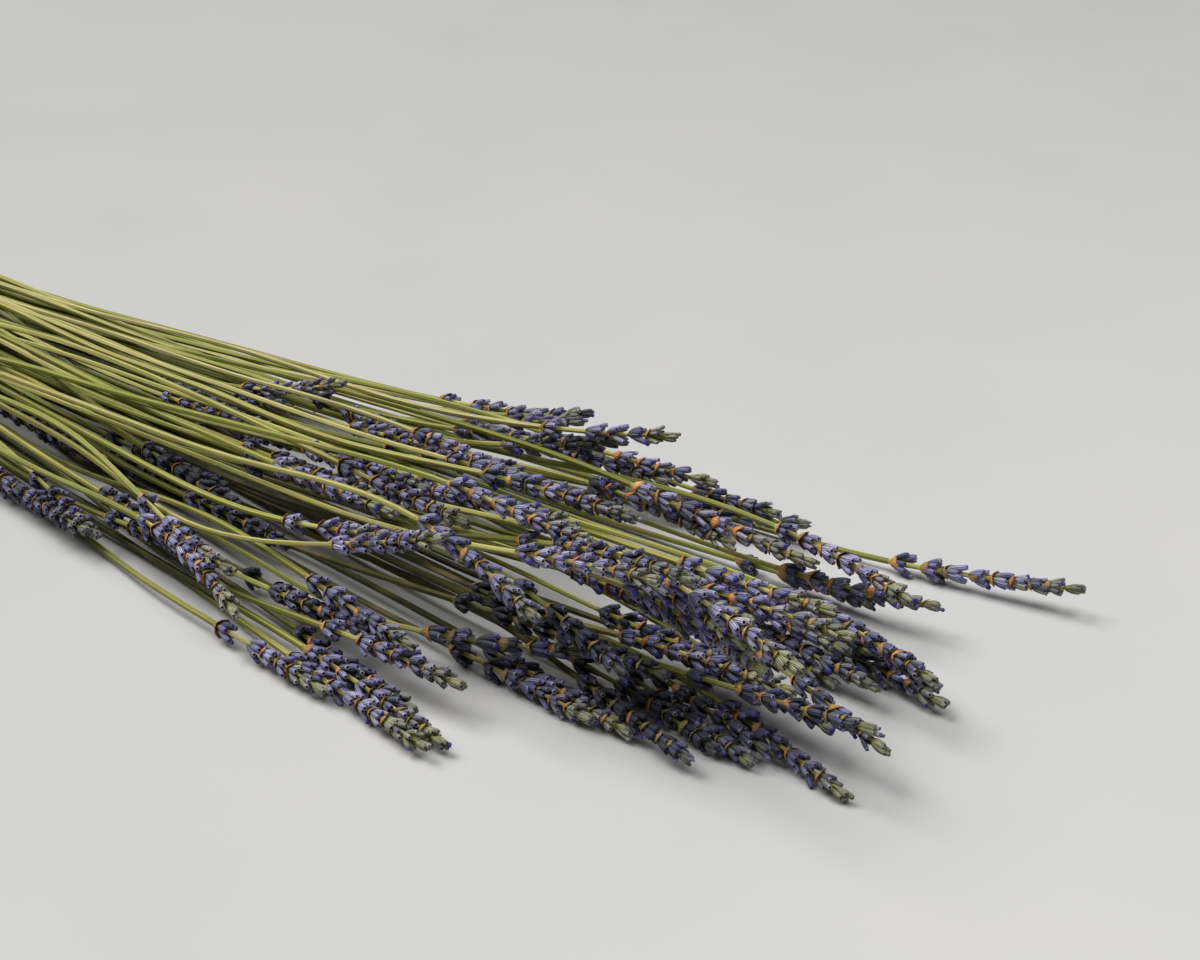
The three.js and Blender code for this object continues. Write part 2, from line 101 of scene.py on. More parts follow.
# The strands of neighbouring sprigs. Each head is given by the place of its tip along,
# across and above, its bearing, its rise and its length. Each strand also holds
# some lower sprigs, which a rule places under its first head.
STRANDS = [
    ([(410, 60, 10, 15, 6, 52)], 0),
    ([(338, 49, 20, 25, 9, 42), (332, 37, 22, 5, -2, 42)], 1),
    ([(314, 42, 24, 15, -2, 46)], 1),
    ([(256, 55, 24, 25, 13, 44), (257, 42, 20, 20, 12, 40)], 1),
    ([(293, 31, 28, 20, 14, 40), (308, 25, 28, 16, 12, 42)], 1),
    ([(360, 16, 28, 8, -3, 54), (389, 18, 20, -6, -8, 46)], 1),
    ([(390, 35, 10, 13, 3, 44)], 1),
    ([(410, 9, 10, -9, -4, 42), (413, 3, 6, -10, -2, 38)], 1),
    ([(415, -7, 8, -13, -6, 44), (389, 5, 20, 2, 0, 42)], 2),
    ([(420, -28, 16, -12, -6, 44)], 2),
    ([(420, -42, 24, 5, 5, 50)], 2),
    ([(418, -40, 6, -12, -5, 44), (397, -41, 7, -6, -4, 40)], 2),
    ([(414, -52, 36, -12, -2, 46), (396, -58, 30, -10, -4, 44)], 2),
    ([(387, -48, 6, -11, -4, 42)], 2),
    ([(373, -58, 18, 5, 0, 66), (366, -58, 14, -12, -10, 44), (347, -53, 7, 32, 2, 44)], 1),
    ([(342, -83, 8, -8, -3, 56), (341, -89, 6, -4, 1, 56), (306, -96, 6, -6, 0, 44)], 1),
    ([(273, -88, 8, -15, -8, 54), (246, -79, 8, -5, 3, 46),
      (240, -70, 18, -2, 4, 46), (262, -76, 15, -7, 0, 46)], 0),
    ([(207, -78, 8, -14, -2, 42), (206, -71, 16, -3, 0, 54)], 1),
    ([(165, -56, 18, -3, 0, 44)], 2),
    ([(221, -40, 24, 2, 2, 52), (236, -49, 22, 0, 0, 46), (254, -60, 20, -4, 0, 44)], 0),
    ([(221, -21, 26, 5, 5, 46)], 2),
    ([(209, 7, 26, 14, 16, 42)], 2),
    ([(281, -45, 28, -2, 1, 58), (308, -44, 34, 0, 2, 48), (287, -55, 24, 8, 0, 44)], 1),
    ([(318, -72, 40, 10, 22, 40), (350, -71, 34, -13, -6, 48)], 1),
    ([(375, -59, 44, 0, 10, 44), (383, -52, 40, -3, 6, 58)], 1),
    ([(401, -20, 34, 3, 3, 60)], 2),
    ([(281, -3, 30, 8, 9, 50)], 2),
    ([(322, -25, 34, 5, 5, 54)], 2),
    ([(331, -10, 34, 4, 1, 48)], 2),
    ([(310, -66, 12, 8, 0, 46), (334, -71, 14, 3, 0, 46),
      (290, -71, 9, -4, 0, 44), (318, -76, 18, -6, 0, 42)], 0),
]
LOWER_BACK = (8, 24)
LOWER_ASIDE = (6, 10)
LOWER_DROP = (2, 6)
LOWER_LENGTH = (42, 52)
LOWER_LIES_FLATTER = 0.6
LOWER_TURN = 5
LOWEST_TIP = 4.5
EARLIEST_TIP = 165
MIDDLE_LINE = -18
NEAR_EDGE = 30

# How the stems settle against each other
SECTION_STEP = 60
SECTIONS = 9
STEPS_PER_SECTION = 10
STEPS = (SECTIONS - 1) * STEPS_PER_SECTION + 1
SETTLING_ROUNDS = 600
FREE_ROUNDS = 260
GROWING_ROUNDS = 250
FIRST_SIZE = 0.3
STEM_MOBILITY = 1
HEAD_MOBILITY = 0.4
PULL_HOME = 0.1
LOWER_PULL_HOME = 0.02
STEM_PULL_HOME = 0.01
STIFFNESS = 0.35
CALM_STIFFNESS = 0.4
PUSH_GAIN = 1.3
SINKING = 0.05
LAST_ROUNDS = 120
LEAST_GAP = 0.01
TIE_PLACE = 0.6
HEADS_TIED_AT = 0.56
HEADS_APART_AT = 0.74
STEMS_APART_AT = 0.9
HEADS_ABOVE_SURFACE_AT = 0.85
STEMS_ABOVE_SURFACE_AT = 0.7


def mix(start, end, part):
    """The value a part of the way from start to end."""
    return start + (end - start) * part


def random_source(seed):
    """Seeded random numbers between 0 and 1, in the same order as in the part."""
    word = 0xFFFFFFFF
    state = seed

    def value():
        nonlocal state
        state = (state + 0x6D2B79F5) & word
        mixed = ((state ^ (state >> 15)) * (1 | state)) & word
        mixed = ((mixed + (mixed ^ (mixed >> 7)) * (61 | mixed)) & word) ^ mixed
        return ((mixed ^ (mixed >> 14)) & word) / (word + 1)

    return value


class Sprig:
    """One sprig: the line of its head, and where the head begins."""

    def __init__(self, strand, place, is_lower, random):
        self.strand = strand
        self.is_lower = is_lower
        self.tip_x, self.tip_y, self.tip_z, bearing, rise, length = place
        bearing, rise = math.radians(bearing), math.radians(rise)
        self.base_x = self.tip_x - math.cos(rise) * math.cos(bearing) * length
        self.slope_y = math.tan(bearing)
        self.slope_z = math.tan(rise) / math.cos(bearing)
        self.cut_x = random() * CUT_END_SPREAD
        self.turn = random() * 360
        self.girth = mix(SMALLEST_GIRTH, 1, random())
        self.low_whorl = random() < LOW_WHORL_SHARE

    def home_at(self, x):
        """The line of the head, before the sprigs settle."""
        return np.array([self.tip_y + (x - self.tip_x) * self.slope_y,
                         self.tip_z + (x - self.tip_x) * self.slope_z])

    def room_at(self, x):
        """Half the room that the sprig needs at a distance along the bunch, or 0."""
        if x < self.cut_x or x > self.tip_x:
            return 0.0
        if x < self.base_x:
            return STEM_HALF_DIAGONAL
        part = (x - self.base_x) / (self.tip_x - self.base_x)
        foot = mix(FOOT_REACH, 1, part / WIDEST_PLACE)
        tip = mix(1, TIP_REACH, max(0, (part - WIDEST_PLACE) / (1 - WIDEST_PLACE)) ** TAPER)
        return HEAD_RADIUS * self.girth * (foot if part < WIDEST_PLACE else tip)


def make_sprigs():
    """All the sprigs: the heads that are given, and the lower ones of each strand."""
    random = random_source(LAYOUT_SEED)
    sprigs = []
    for strand, (heads, lower) in enumerate(STRANDS):
        sprigs += [Sprig(strand, head, False, random) for head in heads]
        tip_x, tip_y, tip_z, bearing, rise = heads[0][:5]
        off_middle = tip_y - MIDDLE_LINE
        side = -math.copysign(1, off_middle) if abs(off_middle) > NEAR_EDGE else 1 - 2 * (strand % 2)
        for _ in range(lower):
            back = mix(*LOWER_BACK, random())
            tip_x += back if tip_x - back < EARLIEST_TIP else -back
            tip_y += side * mix(*LOWER_ASIDE, random())
            tip_z = max(LOWEST_TIP, tip_z - mix(*LOWER_DROP, random()))
            bearing = bearing * LOWER_LIES_FLATTER + mix(-LOWER_TURN, LOWER_TURN, random())
            rise *= LOWER_LIES_FLATTER
            place = (tip_x, tip_y, tip_z, bearing, rise, mix(*LOWER_LENGTH, random()))
            sprigs.append(Sprig(strand, place, True, random))
    return sprigs


def place_meetings(sprigs):
    """Where each strand's stems meet near their cut ends: across, above and tilt."""
    random = random_source(MEETING_SEED)
    across, height = [], []
    for strand in range(len(STRANDS)):
        members = [sprig for sprig in sprigs if sprig.strand == strand]
        across.append(np.mean([s.tip_y - RANKED_BEHIND_TIP * s.slope_y for s in members]))
        height.append(np.mean([s.tip_z - LENGTH_BURIES * s.tip_x for s in members]))
    ranks = [np.argsort(np.argsort(values, kind="stable")) / (len(STRANDS) - 1)
             for values in (across, height)]
    meetings = []
    for strand in range(len(STRANDS)):
        y = mix(*MEETING_WIDTH, ranks[0][strand]) + mix(-MEETING_SHIFT, MEETING_SHIFT, random())
        z = mix(*MEETING_HEIGHT, ranks[1][strand])
        tilt = math.radians(mix(-MEETING_TILT, MEETING_TILT, random()))
        pitch = MEETING_PITCH * np.array([math.cos(tilt), math.sin(tilt)])
        meetings.append((np.array([y, z]), pitch))
    return meetings


def hermite(start, slope_start, end, slope_end, span, part):
    """A smooth curve between two values with given slopes at its ends."""
    square, cube = part * part, part ** 3
    return (start * (2 * cube - 3 * square + 1) + slope_start * span * (cube - 2 * square + part)
            + end * (3 * square - 2 * cube) + slope_end * span * (cube - square))


def free_course(sprig, meeting, x):
    """The course of a sprig at a distance along the bunch, before the sprigs settle."""
    if x >= sprig.base_x:
        return sprig.home_at(x)
    begin = MEETING_SECTION * SECTION_STEP
    base_y, base_z = sprig.home_at(sprig.base_x)
    span = sprig.base_x - begin
    start_y, start_z = meeting[0] + sprig.aside * meeting[1]
    slope_y = (base_y - start_y) / span + SPREAD_PER_STEM * sprig.aside
    slope_z = (base_z - start_z) / span
    if x < begin:
        return np.array([start_y + (x - begin) * slope_y,
                         start_z + (x - begin) * slope_z * CUT_END_SLOPE_KEPT])
    climb = min(STEEPEST_CLIMB, max(0, (base_z - CORE_HEIGHT) / CLIMB_RUN))
    part = (x - begin) / span
    rise = sprig.slope_z * HEAD_RISE_KEPT + climb
    return np.array([
        hermite(start_y, slope_y, base_y, sprig.slope_y * HEAD_BEARING_KEPT, span, part),
        hermite(start_z, slope_z * MEETING_SLOPE_KEPT, base_z, rise, span, part),
    ])


def find_ties(sprigs):
    """Which heads of a strand press against each other, and at which step."""
    ties = []
    for i, sprig in enumerate(sprigs):
        best = None
        j = i - 1
        while j >= 0 and sprigs[j].strand == sprig.strand:
            start, end = max(sprig.base_x, sprigs[j].base_x), min(sprig.tip_x, sprigs[j].tip_x)
            x = mix(start, end, TIE_PLACE)
            apart = np.hypot(*(sprig.home_at(x) - sprigs[j].home_at(x))) - (end - start)
            if best is None or apart < best[0]:
                best = (apart, j, x)
            j -= 1
        if best:
            ties.append((best[1], i, math.floor(best[2] / SECTION_STEP * STEPS_PER_SECTION + 0.5)))
    return ties


def settle(sprigs, meetings):
    """Settle the sprigs as in the part, and return their courses: sprig, section, (y, z)."""
    steps_x = np.arange(STEPS) / STEPS_PER_SECTION * SECTION_STEP
    for sprig in sprigs:
        members = [other for other in sprigs if other.strand == sprig.strand]
        sprig.aside = members.index(sprig) - (len(members) - 1) / 2
    home = np.array([[free_course(s, meetings[s.strand], k * SECTION_STEP) for k in range(SECTIONS)]
                     for s in sprigs])
    course = home.copy()
    room = np.array([[s.room_at(x) for x in steps_x] for s in sprigs])
    is_head = np.array([[x >= s.base_x for x in steps_x] for s in sprigs])
    strand = np.array([s.strand for s in sprigs])
    ties = find_ties(sprigs)

    section = np.minimum(np.arange(STEPS) // STEPS_PER_SECTION, SECTIONS - 2)
    part = np.arange(STEPS) / STEPS_PER_SECTION - section
    weights = np.zeros((STEPS, SECTIONS))
    weights[np.arange(STEPS), section] = 1 - part
    weights[np.arange(STEPS), section + 1] = part
    shares = weights / ((1 - part) ** 2 + part ** 2)[:, None]

    # Every pair of sprigs that are both there at a step, as indices of step and sprig
    count_all = len(sprigs)
    there = room.T.ravel() > 0
    rooms, heads = room.T.ravel(), is_head.T.ravel()
    mobile = np.where(heads, HEAD_MOBILITY, STEM_MOBILITY).astype(float)
    above = rooms * np.where(heads, HEADS_ABOVE_SURFACE_AT, STEMS_ABOVE_SURFACE_AT)
    first, second = np.triu_indices(count_all, 1)
    one = (np.arange(STEPS)[:, None] * count_all + first).ravel()
    other = (np.arange(STEPS)[:, None] * count_all + second).ravel()
    both = there[one] & there[other]
    one, other = one[both], other[both]
    same = strand[one % count_all] == strand[other % count_all]
    touch = rooms[one] + rooms[other]
    closest = np.where(heads[one], HEADS_APART_AT, STEMS_APART_AT)
    between = np.where(same, ROOM_WITHIN_STRAND, ROOM_BETWEEN_PIECES)
    wanted_full = np.where(same & (heads[one] == heads[other]), touch * closest, touch + between)

    # Stems straighten between their meeting and their head, until the free rounds keep the
    # shape they have; the bunch sinks under its weight until the last rounds
    head_pull = [LOWER_PULL_HOME if s.is_lower else PULL_HOME for s in sprigs]
    carries_head = np.array([[(k + 1) * SECTION_STEP > s.base_x for k in range(SECTIONS)] for s in sprigs])
    home_pull = np.where(carries_head, np.array(head_pull)[:, None], STEM_PULL_HOME)[..., None]
    keeps_shape = carries_head | (np.arange(SECTIONS) == 0)
    free = SETTLING_ROUNDS - FREE_ROUNDS
    for turn in range(SETTLING_ROUNDS):
        calm = max(0, 1 - turn / free)
        sinking = SINKING if turn < SETTLING_ROUNDS - LAST_ROUNDS else 0
        if turn == free:
            home = course.copy()
            keeps_shape = np.full_like(keeps_shape, True)
        grown = min(1, mix(FIRST_SIZE, 1, turn / GROWING_ROUNDS))
        here_y, here_z = np.tensordot(weights, course, (1, 1)).reshape(-1, 2).T
        wanted = grown * wanted_full
        square = (here_y[other] - here_y[one]) ** 2 + (here_z[other] - here_z[one]) ** 2
        close = square < wanted ** 2
        i, j, gap = one[close], other[close], np.sqrt(square[close])
        force = (wanted[close] - gap) / np.maximum(gap, LEAST_GAP) / (mobile[i] + mobile[j])
        low = np.where(there, above - here_z, 0)
        step_count = np.bincount(i, minlength=there.size) + np.bincount(j, minlength=there.size) + (low > 0)
        step_push = []
        for here, up in ((here_y, 0), (here_z, np.maximum(low, 0))):
            away = (here[j] - here[i]) * force
            step_push.append(np.bincount(j, away * mobile[j], there.size)
                             - np.bincount(i, away * mobile[i], there.size) + up)
        step_push = np.array(step_push).reshape(2, STEPS, count_all)
        push = np.tensordot(step_push, shares, (1, 0)).transpose(1, 2, 0)
        count = step_count.reshape(STEPS, count_all).T @ shares
        course = course + push * (PUSH_GAIN / np.maximum(1, count))[..., None] - (0, sinking)
        strayed = course - home
        bend = np.where(keeps_shape[..., None], bends_of(strayed), bends_of(course))
        stiff = STIFFNESS * mix(CALM_STIFFNESS, 1, calm)
        course = course + stiff * bend - home_pull * calm * strayed
        keep_ties(sprigs, course, ties, meetings, strand, room, weights, shares)
    return course


def bends_of(line):
    """How far the mean of a section's neighbours lies from it, for every section."""
    before = np.concatenate([line[:, :1], line[:, :-1]], axis=1)
    after = np.concatenate([line[:, 1:], line[:, -1:]], axis=1)
    return (before + after) / 2 - line


def keep_ties(sprigs, course, ties, meetings, strand, room, weights, shares):
    """Hold the strand's stems side by side where they meet, and its heads against each other."""
    aside = np.array([s.aside for s in sprigs])
    for number, (_, pitch) in enumerate(meetings):
        members = strand == number
        mean = course[members, MEETING_SECTION].mean(axis=0)
        course[members, MEETING_SECTION] = mean + aside[members, None] * pitch
    for i, j, step in ties:
        wanted = HEADS_TIED_AT * (room[i, step] + room[j, step])
        apart = weights[step] @ course[j] - weights[step] @ course[i]
        gap = math.hypot(*apart)
        if gap > wanted:
            pull = shares[step][:, None] * apart * ((gap - wanted) / gap * 0.5)
            course[i] += pull
            course[j] -= pull


# Sizes of the finer pieces of a sprig. A pair of numbers is the range of a random draw.
STEM_RING_STEP = 7.0
STEM_WANDER = 0.25
STEM_WANDER_WAVES = (19, 23)  # across and up
STEM_TONE = (0.25, 1)
STEM_TWIST = (-1.2, 1.2)
STEM_GIRTH = (0.9, 1.02)
STEM_RING_GIRTH = (0.97, 1.03)
STEM_NODE_SHARE = 0.35
STEM_NODE_PLACE = (0.35, 0.95)
STEM_LEAF_ROOT = 0.63
RACHIS_RINGS = 9
RACHIS_FOOT_SCALE = 0.95
RACHIS_TIP_RADIUS = 0.4675
RACHIS_TONE = (0.4, 1)
RACHIS_PAST_WHORL = 1.0

WHORL_PITCH = 6.5
TIP_PITCH_SCALE = 0.62
LOW_WHORL_GAP = 5.85
UNEVEN_PITCH = (0.82, 1.18)
FEWEST_WHORLS = 4
FIRST_WHORL = 0.6
LAST_WHORL_BEHIND_TIP = 5.225
HEAD_TIP_SCALE = 0.76
HEAD_TIP_BEND = 1.5
WHORL_TURN = (-0.25, 0.25)
WHORL_OPENING = (0.7, 1.2)
WHORL_FULLNESS = (0.92, 1.08)

CALYX_LENGTH = 5.5
CALYX_RADIUS = 0.87
CALYX_SIDES = 8
CALYXES_PER_SIDE = 4
CALYX_MISSING_SHARE = 0.25
FAN_HALF_ANGLE = 78
FAN_SPREAD = (-0.1, 0.1)
CALYX_LEAN = 24
CALYX_TIP_LEAN = 10
CALYX_LEAN_SCALE = (0.8, 1.15)
CALYX_FOOT = 0.55
CALYX_TIP_FOOT_SCALE = 0.6
CALYX_FOOT_ALONG = (-0.5, 0.7)
CALYX_GIRTH = (0.86, 1.1)
CALYX_STRETCH = (0.76, 1.14)
CALYX_ROLL = (-0.5, 0.5)
CALYX_TONE = (0.25, 1)
HEAD_TONE_SHARE = 0.3
WHORL_TONE_SHARE = 0.3
OWN_TONE_SHARE = 0.4
FLOWERING_SHARE = 0.09
PETALS_PLACE = 0.9
PETALS_LENGTH = 1.5
PETALS_SIZE = (0.6, 1.05)

COLLAR_THICKNESS = 0.15
COLLAR_LOW_SIDE = 1.2
COLLAR_LOBE = 2.4
COLLAR_SHARE = 0.85
COLLAR_BACK = 0.3
COLLAR_TURN = (-0.7, 0.7)
COLLAR_REACH = (0.88, 1.1)
COLLAR_TIP_REACH = 0.78
COLLAR_FLATNESS = (0.82, 1.0)
COLLAR_HEIGHT = (0.55, 1.15)
COLLAR_TIP_HEIGHT = 0.6
COLLAR_TONE = (0.25, 1)

SCALE_LEAF_LENGTH = 2.8
SCALE_LEAF_THICKNESS = 0.12
SCALE_LEAF_SHARE = 0.45
SCALE_LEAF_ROOT = 1.0
SCALE_LEAF_ALONG = 0.6

BUD_LENGTH = 4.2
BUD_RADIUS = 0.85
BUDS_AT_TIP = 5
BUD_TURN = 2.4
BUD_LEAN = (2, 9)
BUD_FOOT = 0.35
BUD_SIZE = (0.75, 1.0)
BUD_ALONG = (0.6, 1.6)

# Painted shade: how much the pile darkens the tone of what lies under it
COVER_REACH = 8
COVER_HEIGHT = 8
COVER_EDGE = 1.5
STEM_COVER = 0.5
DARK_UNDER = 2.3
STEM_TONE_IN_DEEPEST_PAINTED_SHADE = 0.08
HEAD_TONE_IN_DEEPEST_PAINTED_SHADE = 0.38

LOOKS_SEED = 11

STEM, CALYX, COLLAR, SCALE_LEAF, PETALS, BUD = range(6)
POINT_ATTRIBUTES = {
    "kind": "INT", "direction": "FLOAT_VECTOR", "facing": "FLOAT_VECTOR", "size": "FLOAT_VECTOR",
    "tone": "FLOAT", "place": "FLOAT", "thickness": "FLOAT", "twist": "FLOAT",
}


def smooth_bends(course):
    """The second slopes that make each course one smooth curve through its sections."""
    n = SECTIONS
    matrix = np.eye(n)
    for k in range(1, n - 1):
        matrix[k, k - 1:k + 2] = (1, 4, 1)
    bends = np.zeros_like(course)
    bends[:, 1:-1] = 6 * (course[:, 2:] - 2 * course[:, 1:-1] + course[:, :-2])
    solved = np.linalg.solve(matrix, bends.transpose(1, 0, 2).reshape(n, -1))
    return solved.reshape(n, -1, 2).transpose(1, 0, 2)


def light_in_pile(sprigs, courses):
    """How much light reaches each sprig at every section: 1 on top of the pile, 0 deep in it."""
    along = np.arange(SECTIONS) * SECTION_STEP
    cover = np.array([np.where(along > s.tip_x, 0, np.where(along < s.base_x, STEM_COVER, 1))
                      for s in sprigs])
    light = []
    for course in courses:
        aside = courses[:, :, 0] - course[:, 0]
        above = np.clip((courses[:, :, 1] - course[:, 1]) / COVER_HEIGHT, 0, 1)
        hiding = cover * above * np.clip(COVER_EDGE - np.abs(aside) / COVER_REACH, 0, 1)
        # Light comes in from the more open side
        sides = [(hiding * side).sum(axis=0) for side in (aside > 0, aside < 0)]
        light.append(np.clip(1 - 2 * np.minimum(*sides) / DARK_UNDER, 0, 1))
    return light


class Course:
    """The settled line of a sprig, in the frame of the part."""

    def __init__(self, points, bends, light):
        self.points = points
        self.bends = bends
        self.light = light

    def at(self, x):
        """The point at a distance along the bunch."""
        section = int(min(max(x // SECTION_STEP, 0), SECTIONS - 2))
        part = x / SECTION_STEP - section
        rest = 1 - part
        bend = (rest ** 3 - rest) * self.bends[section] + (part ** 3 - part) * self.bends[section + 1]
        y, z = rest * self.points[section] + part * self.points[section + 1] + bend / 6
        return np.array([x - ORIGIN_IN_BUNCH[0], y - ORIGIN_IN_BUNCH[1], z])

    def light_at(self, x):
        """How much light reaches the sprig at a distance along the bunch."""
        return np.interp(x / SECTION_STEP, np.arange(SECTIONS), self.light)

    def ahead(self, x):
        """The direction at a distance along the bunch."""
        step = self.at(x + 2) - self.at(x - 2)
        return step / np.linalg.norm(step)


class Points:
    """The points of one piece: lines that become stems, and places of florets."""

    def __init__(self):
        self.spots = []
        self.edges = []
        self.values = {name: [] for name in POINT_ATTRIBUTES}

    def add(self, spot, kind, **values):
        """Add a point with its attributes."""
        self.spots.append(spot)
        for name, data_type in POINT_ATTRIBUTES.items():
            unset = (0, 0, 0) if data_type == "FLOAT_VECTOR" else 0
            self.values[name].append(kind if name == "kind" else values.get(name, unset))
        return len(self.spots) - 1

    def line(self, rows):
        """Add a line of points, each a spot with its attributes."""
        places = [self.add(spot, STEM, **values) for spot, values in rows]
        self.edges += zip(places, places[1:])

    def to_mesh(self, name):
        """A mesh of the points, in metres."""
        mesh = bpy.data.meshes.new(name)
        mesh.from_pydata((np.array(self.spots) * MM).tolist(), self.edges, [])
        for attribute, data_type in POINT_ATTRIBUTES.items():
            layer = mesh.attributes.new(attribute, data_type, "POINT")
            key = "vector" if data_type == "FLOAT_VECTOR" else "value"
            layer.data.foreach_set(key, np.array(self.values[attribute]).ravel())
        return mesh


def square_to(ahead):
    """The directions sideways and upwards that are square to the way ahead."""
    side = np.cross((0, 0, 1), ahead)
    side /= np.linalg.norm(side)
    return side, np.cross(ahead, side)


def outwards(angle, side, up):
    """The direction out from a line at an angle round it."""
    return math.cos(angle) * side + math.sin(angle) * up


def leaning(ahead, out, lean):
    """The way ahead, leaning outwards by an angle in degrees."""
    lean = math.radians(lean)
    return math.cos(lean) * ahead + math.sin(lean) * out


def add_scale_leaf(points, root, ahead, out, lean, scale, size, place, random):
    """A dry scale leaf, with the ranges of its lean and its size."""
    points.add(root, SCALE_LEAF, facing=out, direction=leaning(ahead, out, random.uniform(*lean)),
               size=(scale * random.uniform(*size),) * 3, tone=random.random(), place=place)


def add_stem(points, sprig, course, random):
    """The line of a sprig's stem, from its cut end to the foot of its head."""
    end = sprig.base_x - STEM_TO_HEAD_GAP
    count = max(3, round((end - sprig.cut_x) / STEM_RING_STEP))
    tone, twist = random.uniform(*STEM_TONE), random.uniform(0, math.pi / 2)
    turn = random.uniform(*STEM_TWIST)
    thick = random.uniform(*STEM_GIRTH)
    phases = random.uniform(0, 6, 2)
    rows = []
    for k in range(count + 1):
        part = k / count
        x = mix(sprig.cut_x, end, part)
        waves = [math.sin(x / wave + phase) for wave, phase in zip(STEM_WANDER_WAVES, phases)]
        sway = STEM_WANDER * math.sin(math.pi * part) * np.array([0, *waves])
        radius = STEM_HALF_DIAGONAL * mix(1, STEM_TIP_SCALE, part) * thick * random.uniform(*STEM_RING_GIRTH)
        # Painted shade: the tone of a stem darkens where the pile lies over it
        light = mix(STEM_TONE_IN_DEEPEST_PAINTED_SHADE, 1, course.light_at(x))
        rows.append((course.at(x) + sway, {"thickness": radius * MM, "twist": twist + turn * part,
                                           "tone": tone * light, "place": part}))
    points.line(rows)
    if random.random() < STEM_NODE_SHARE:
        # A pair of dry scale leaves at a node of the stem
        x = mix(sprig.cut_x, end, random.uniform(*STEM_NODE_PLACE))
        centre, ahead = course.at(x), course.ahead(x)
        turn = random.uniform(0, math.pi)
        for angle in (turn, turn + math.pi):
            out = outwards(angle, *square_to(ahead))
            add_scale_leaf(points, centre + out * STEM_LEAF_ROOT, ahead, out, lean=(8, 28), scale=1,
                           size=(0.6, 1.0), place=0, random=random)


def add_head(points, sprig, course, random):
    """The points of a sprig's head: the rachis and its whorls."""
    head_tone = random.random()
    whorls = whorl_places(sprig, random)
    rows = []
    for part in np.linspace(0, 1, RACHIS_RINGS):
        x = mix(sprig.base_x - STEM_TO_HEAD_GAP, whorls[-1] + RACHIS_PAST_WHORL, part)
        radius = mix(STEM_HALF_DIAGONAL * STEM_TIP_SCALE * RACHIS_FOOT_SCALE, RACHIS_TIP_RADIUS, part)
        # Painted shade: the tone of the rachis darkens where the pile lies over it
        tone = mix(*RACHIS_TONE, head_tone) * mix(STEM_TONE_IN_DEEPEST_PAINTED_SHADE, 1, course.light_at(x))
        rows.append((course.at(x), {"thickness": radius * MM, "tone": tone, "place": part}))
    points.line(rows)
    for number, x in enumerate(whorls):
        add_whorl(points, sprig, course, x, number, number == len(whorls) - 1, head_tone, random)


def whorl_places(sprig, random):
    """Where the whorls of a head sit along the bunch, closer together towards its tip."""
    first = sprig.base_x + FIRST_WHORL
    room = sprig.tip_x - LAST_WHORL_BEHIND_TIP - first - (LOW_WHORL_GAP if sprig.low_whorl else 0)
    count = max(FEWEST_WHORLS, round(room / (WHORL_PITCH * (1 + TIP_PITCH_SCALE) / 2)) + 1)
    gaps = np.linspace(1, TIP_PITCH_SCALE, count - 1) * random.uniform(*UNEVEN_PITCH, count - 1)
    gaps *= room / gaps.sum()
    if sprig.low_whorl:
        gaps[0] += LOW_WHORL_GAP
    return first + np.concatenate([[0], np.cumsum(gaps)])


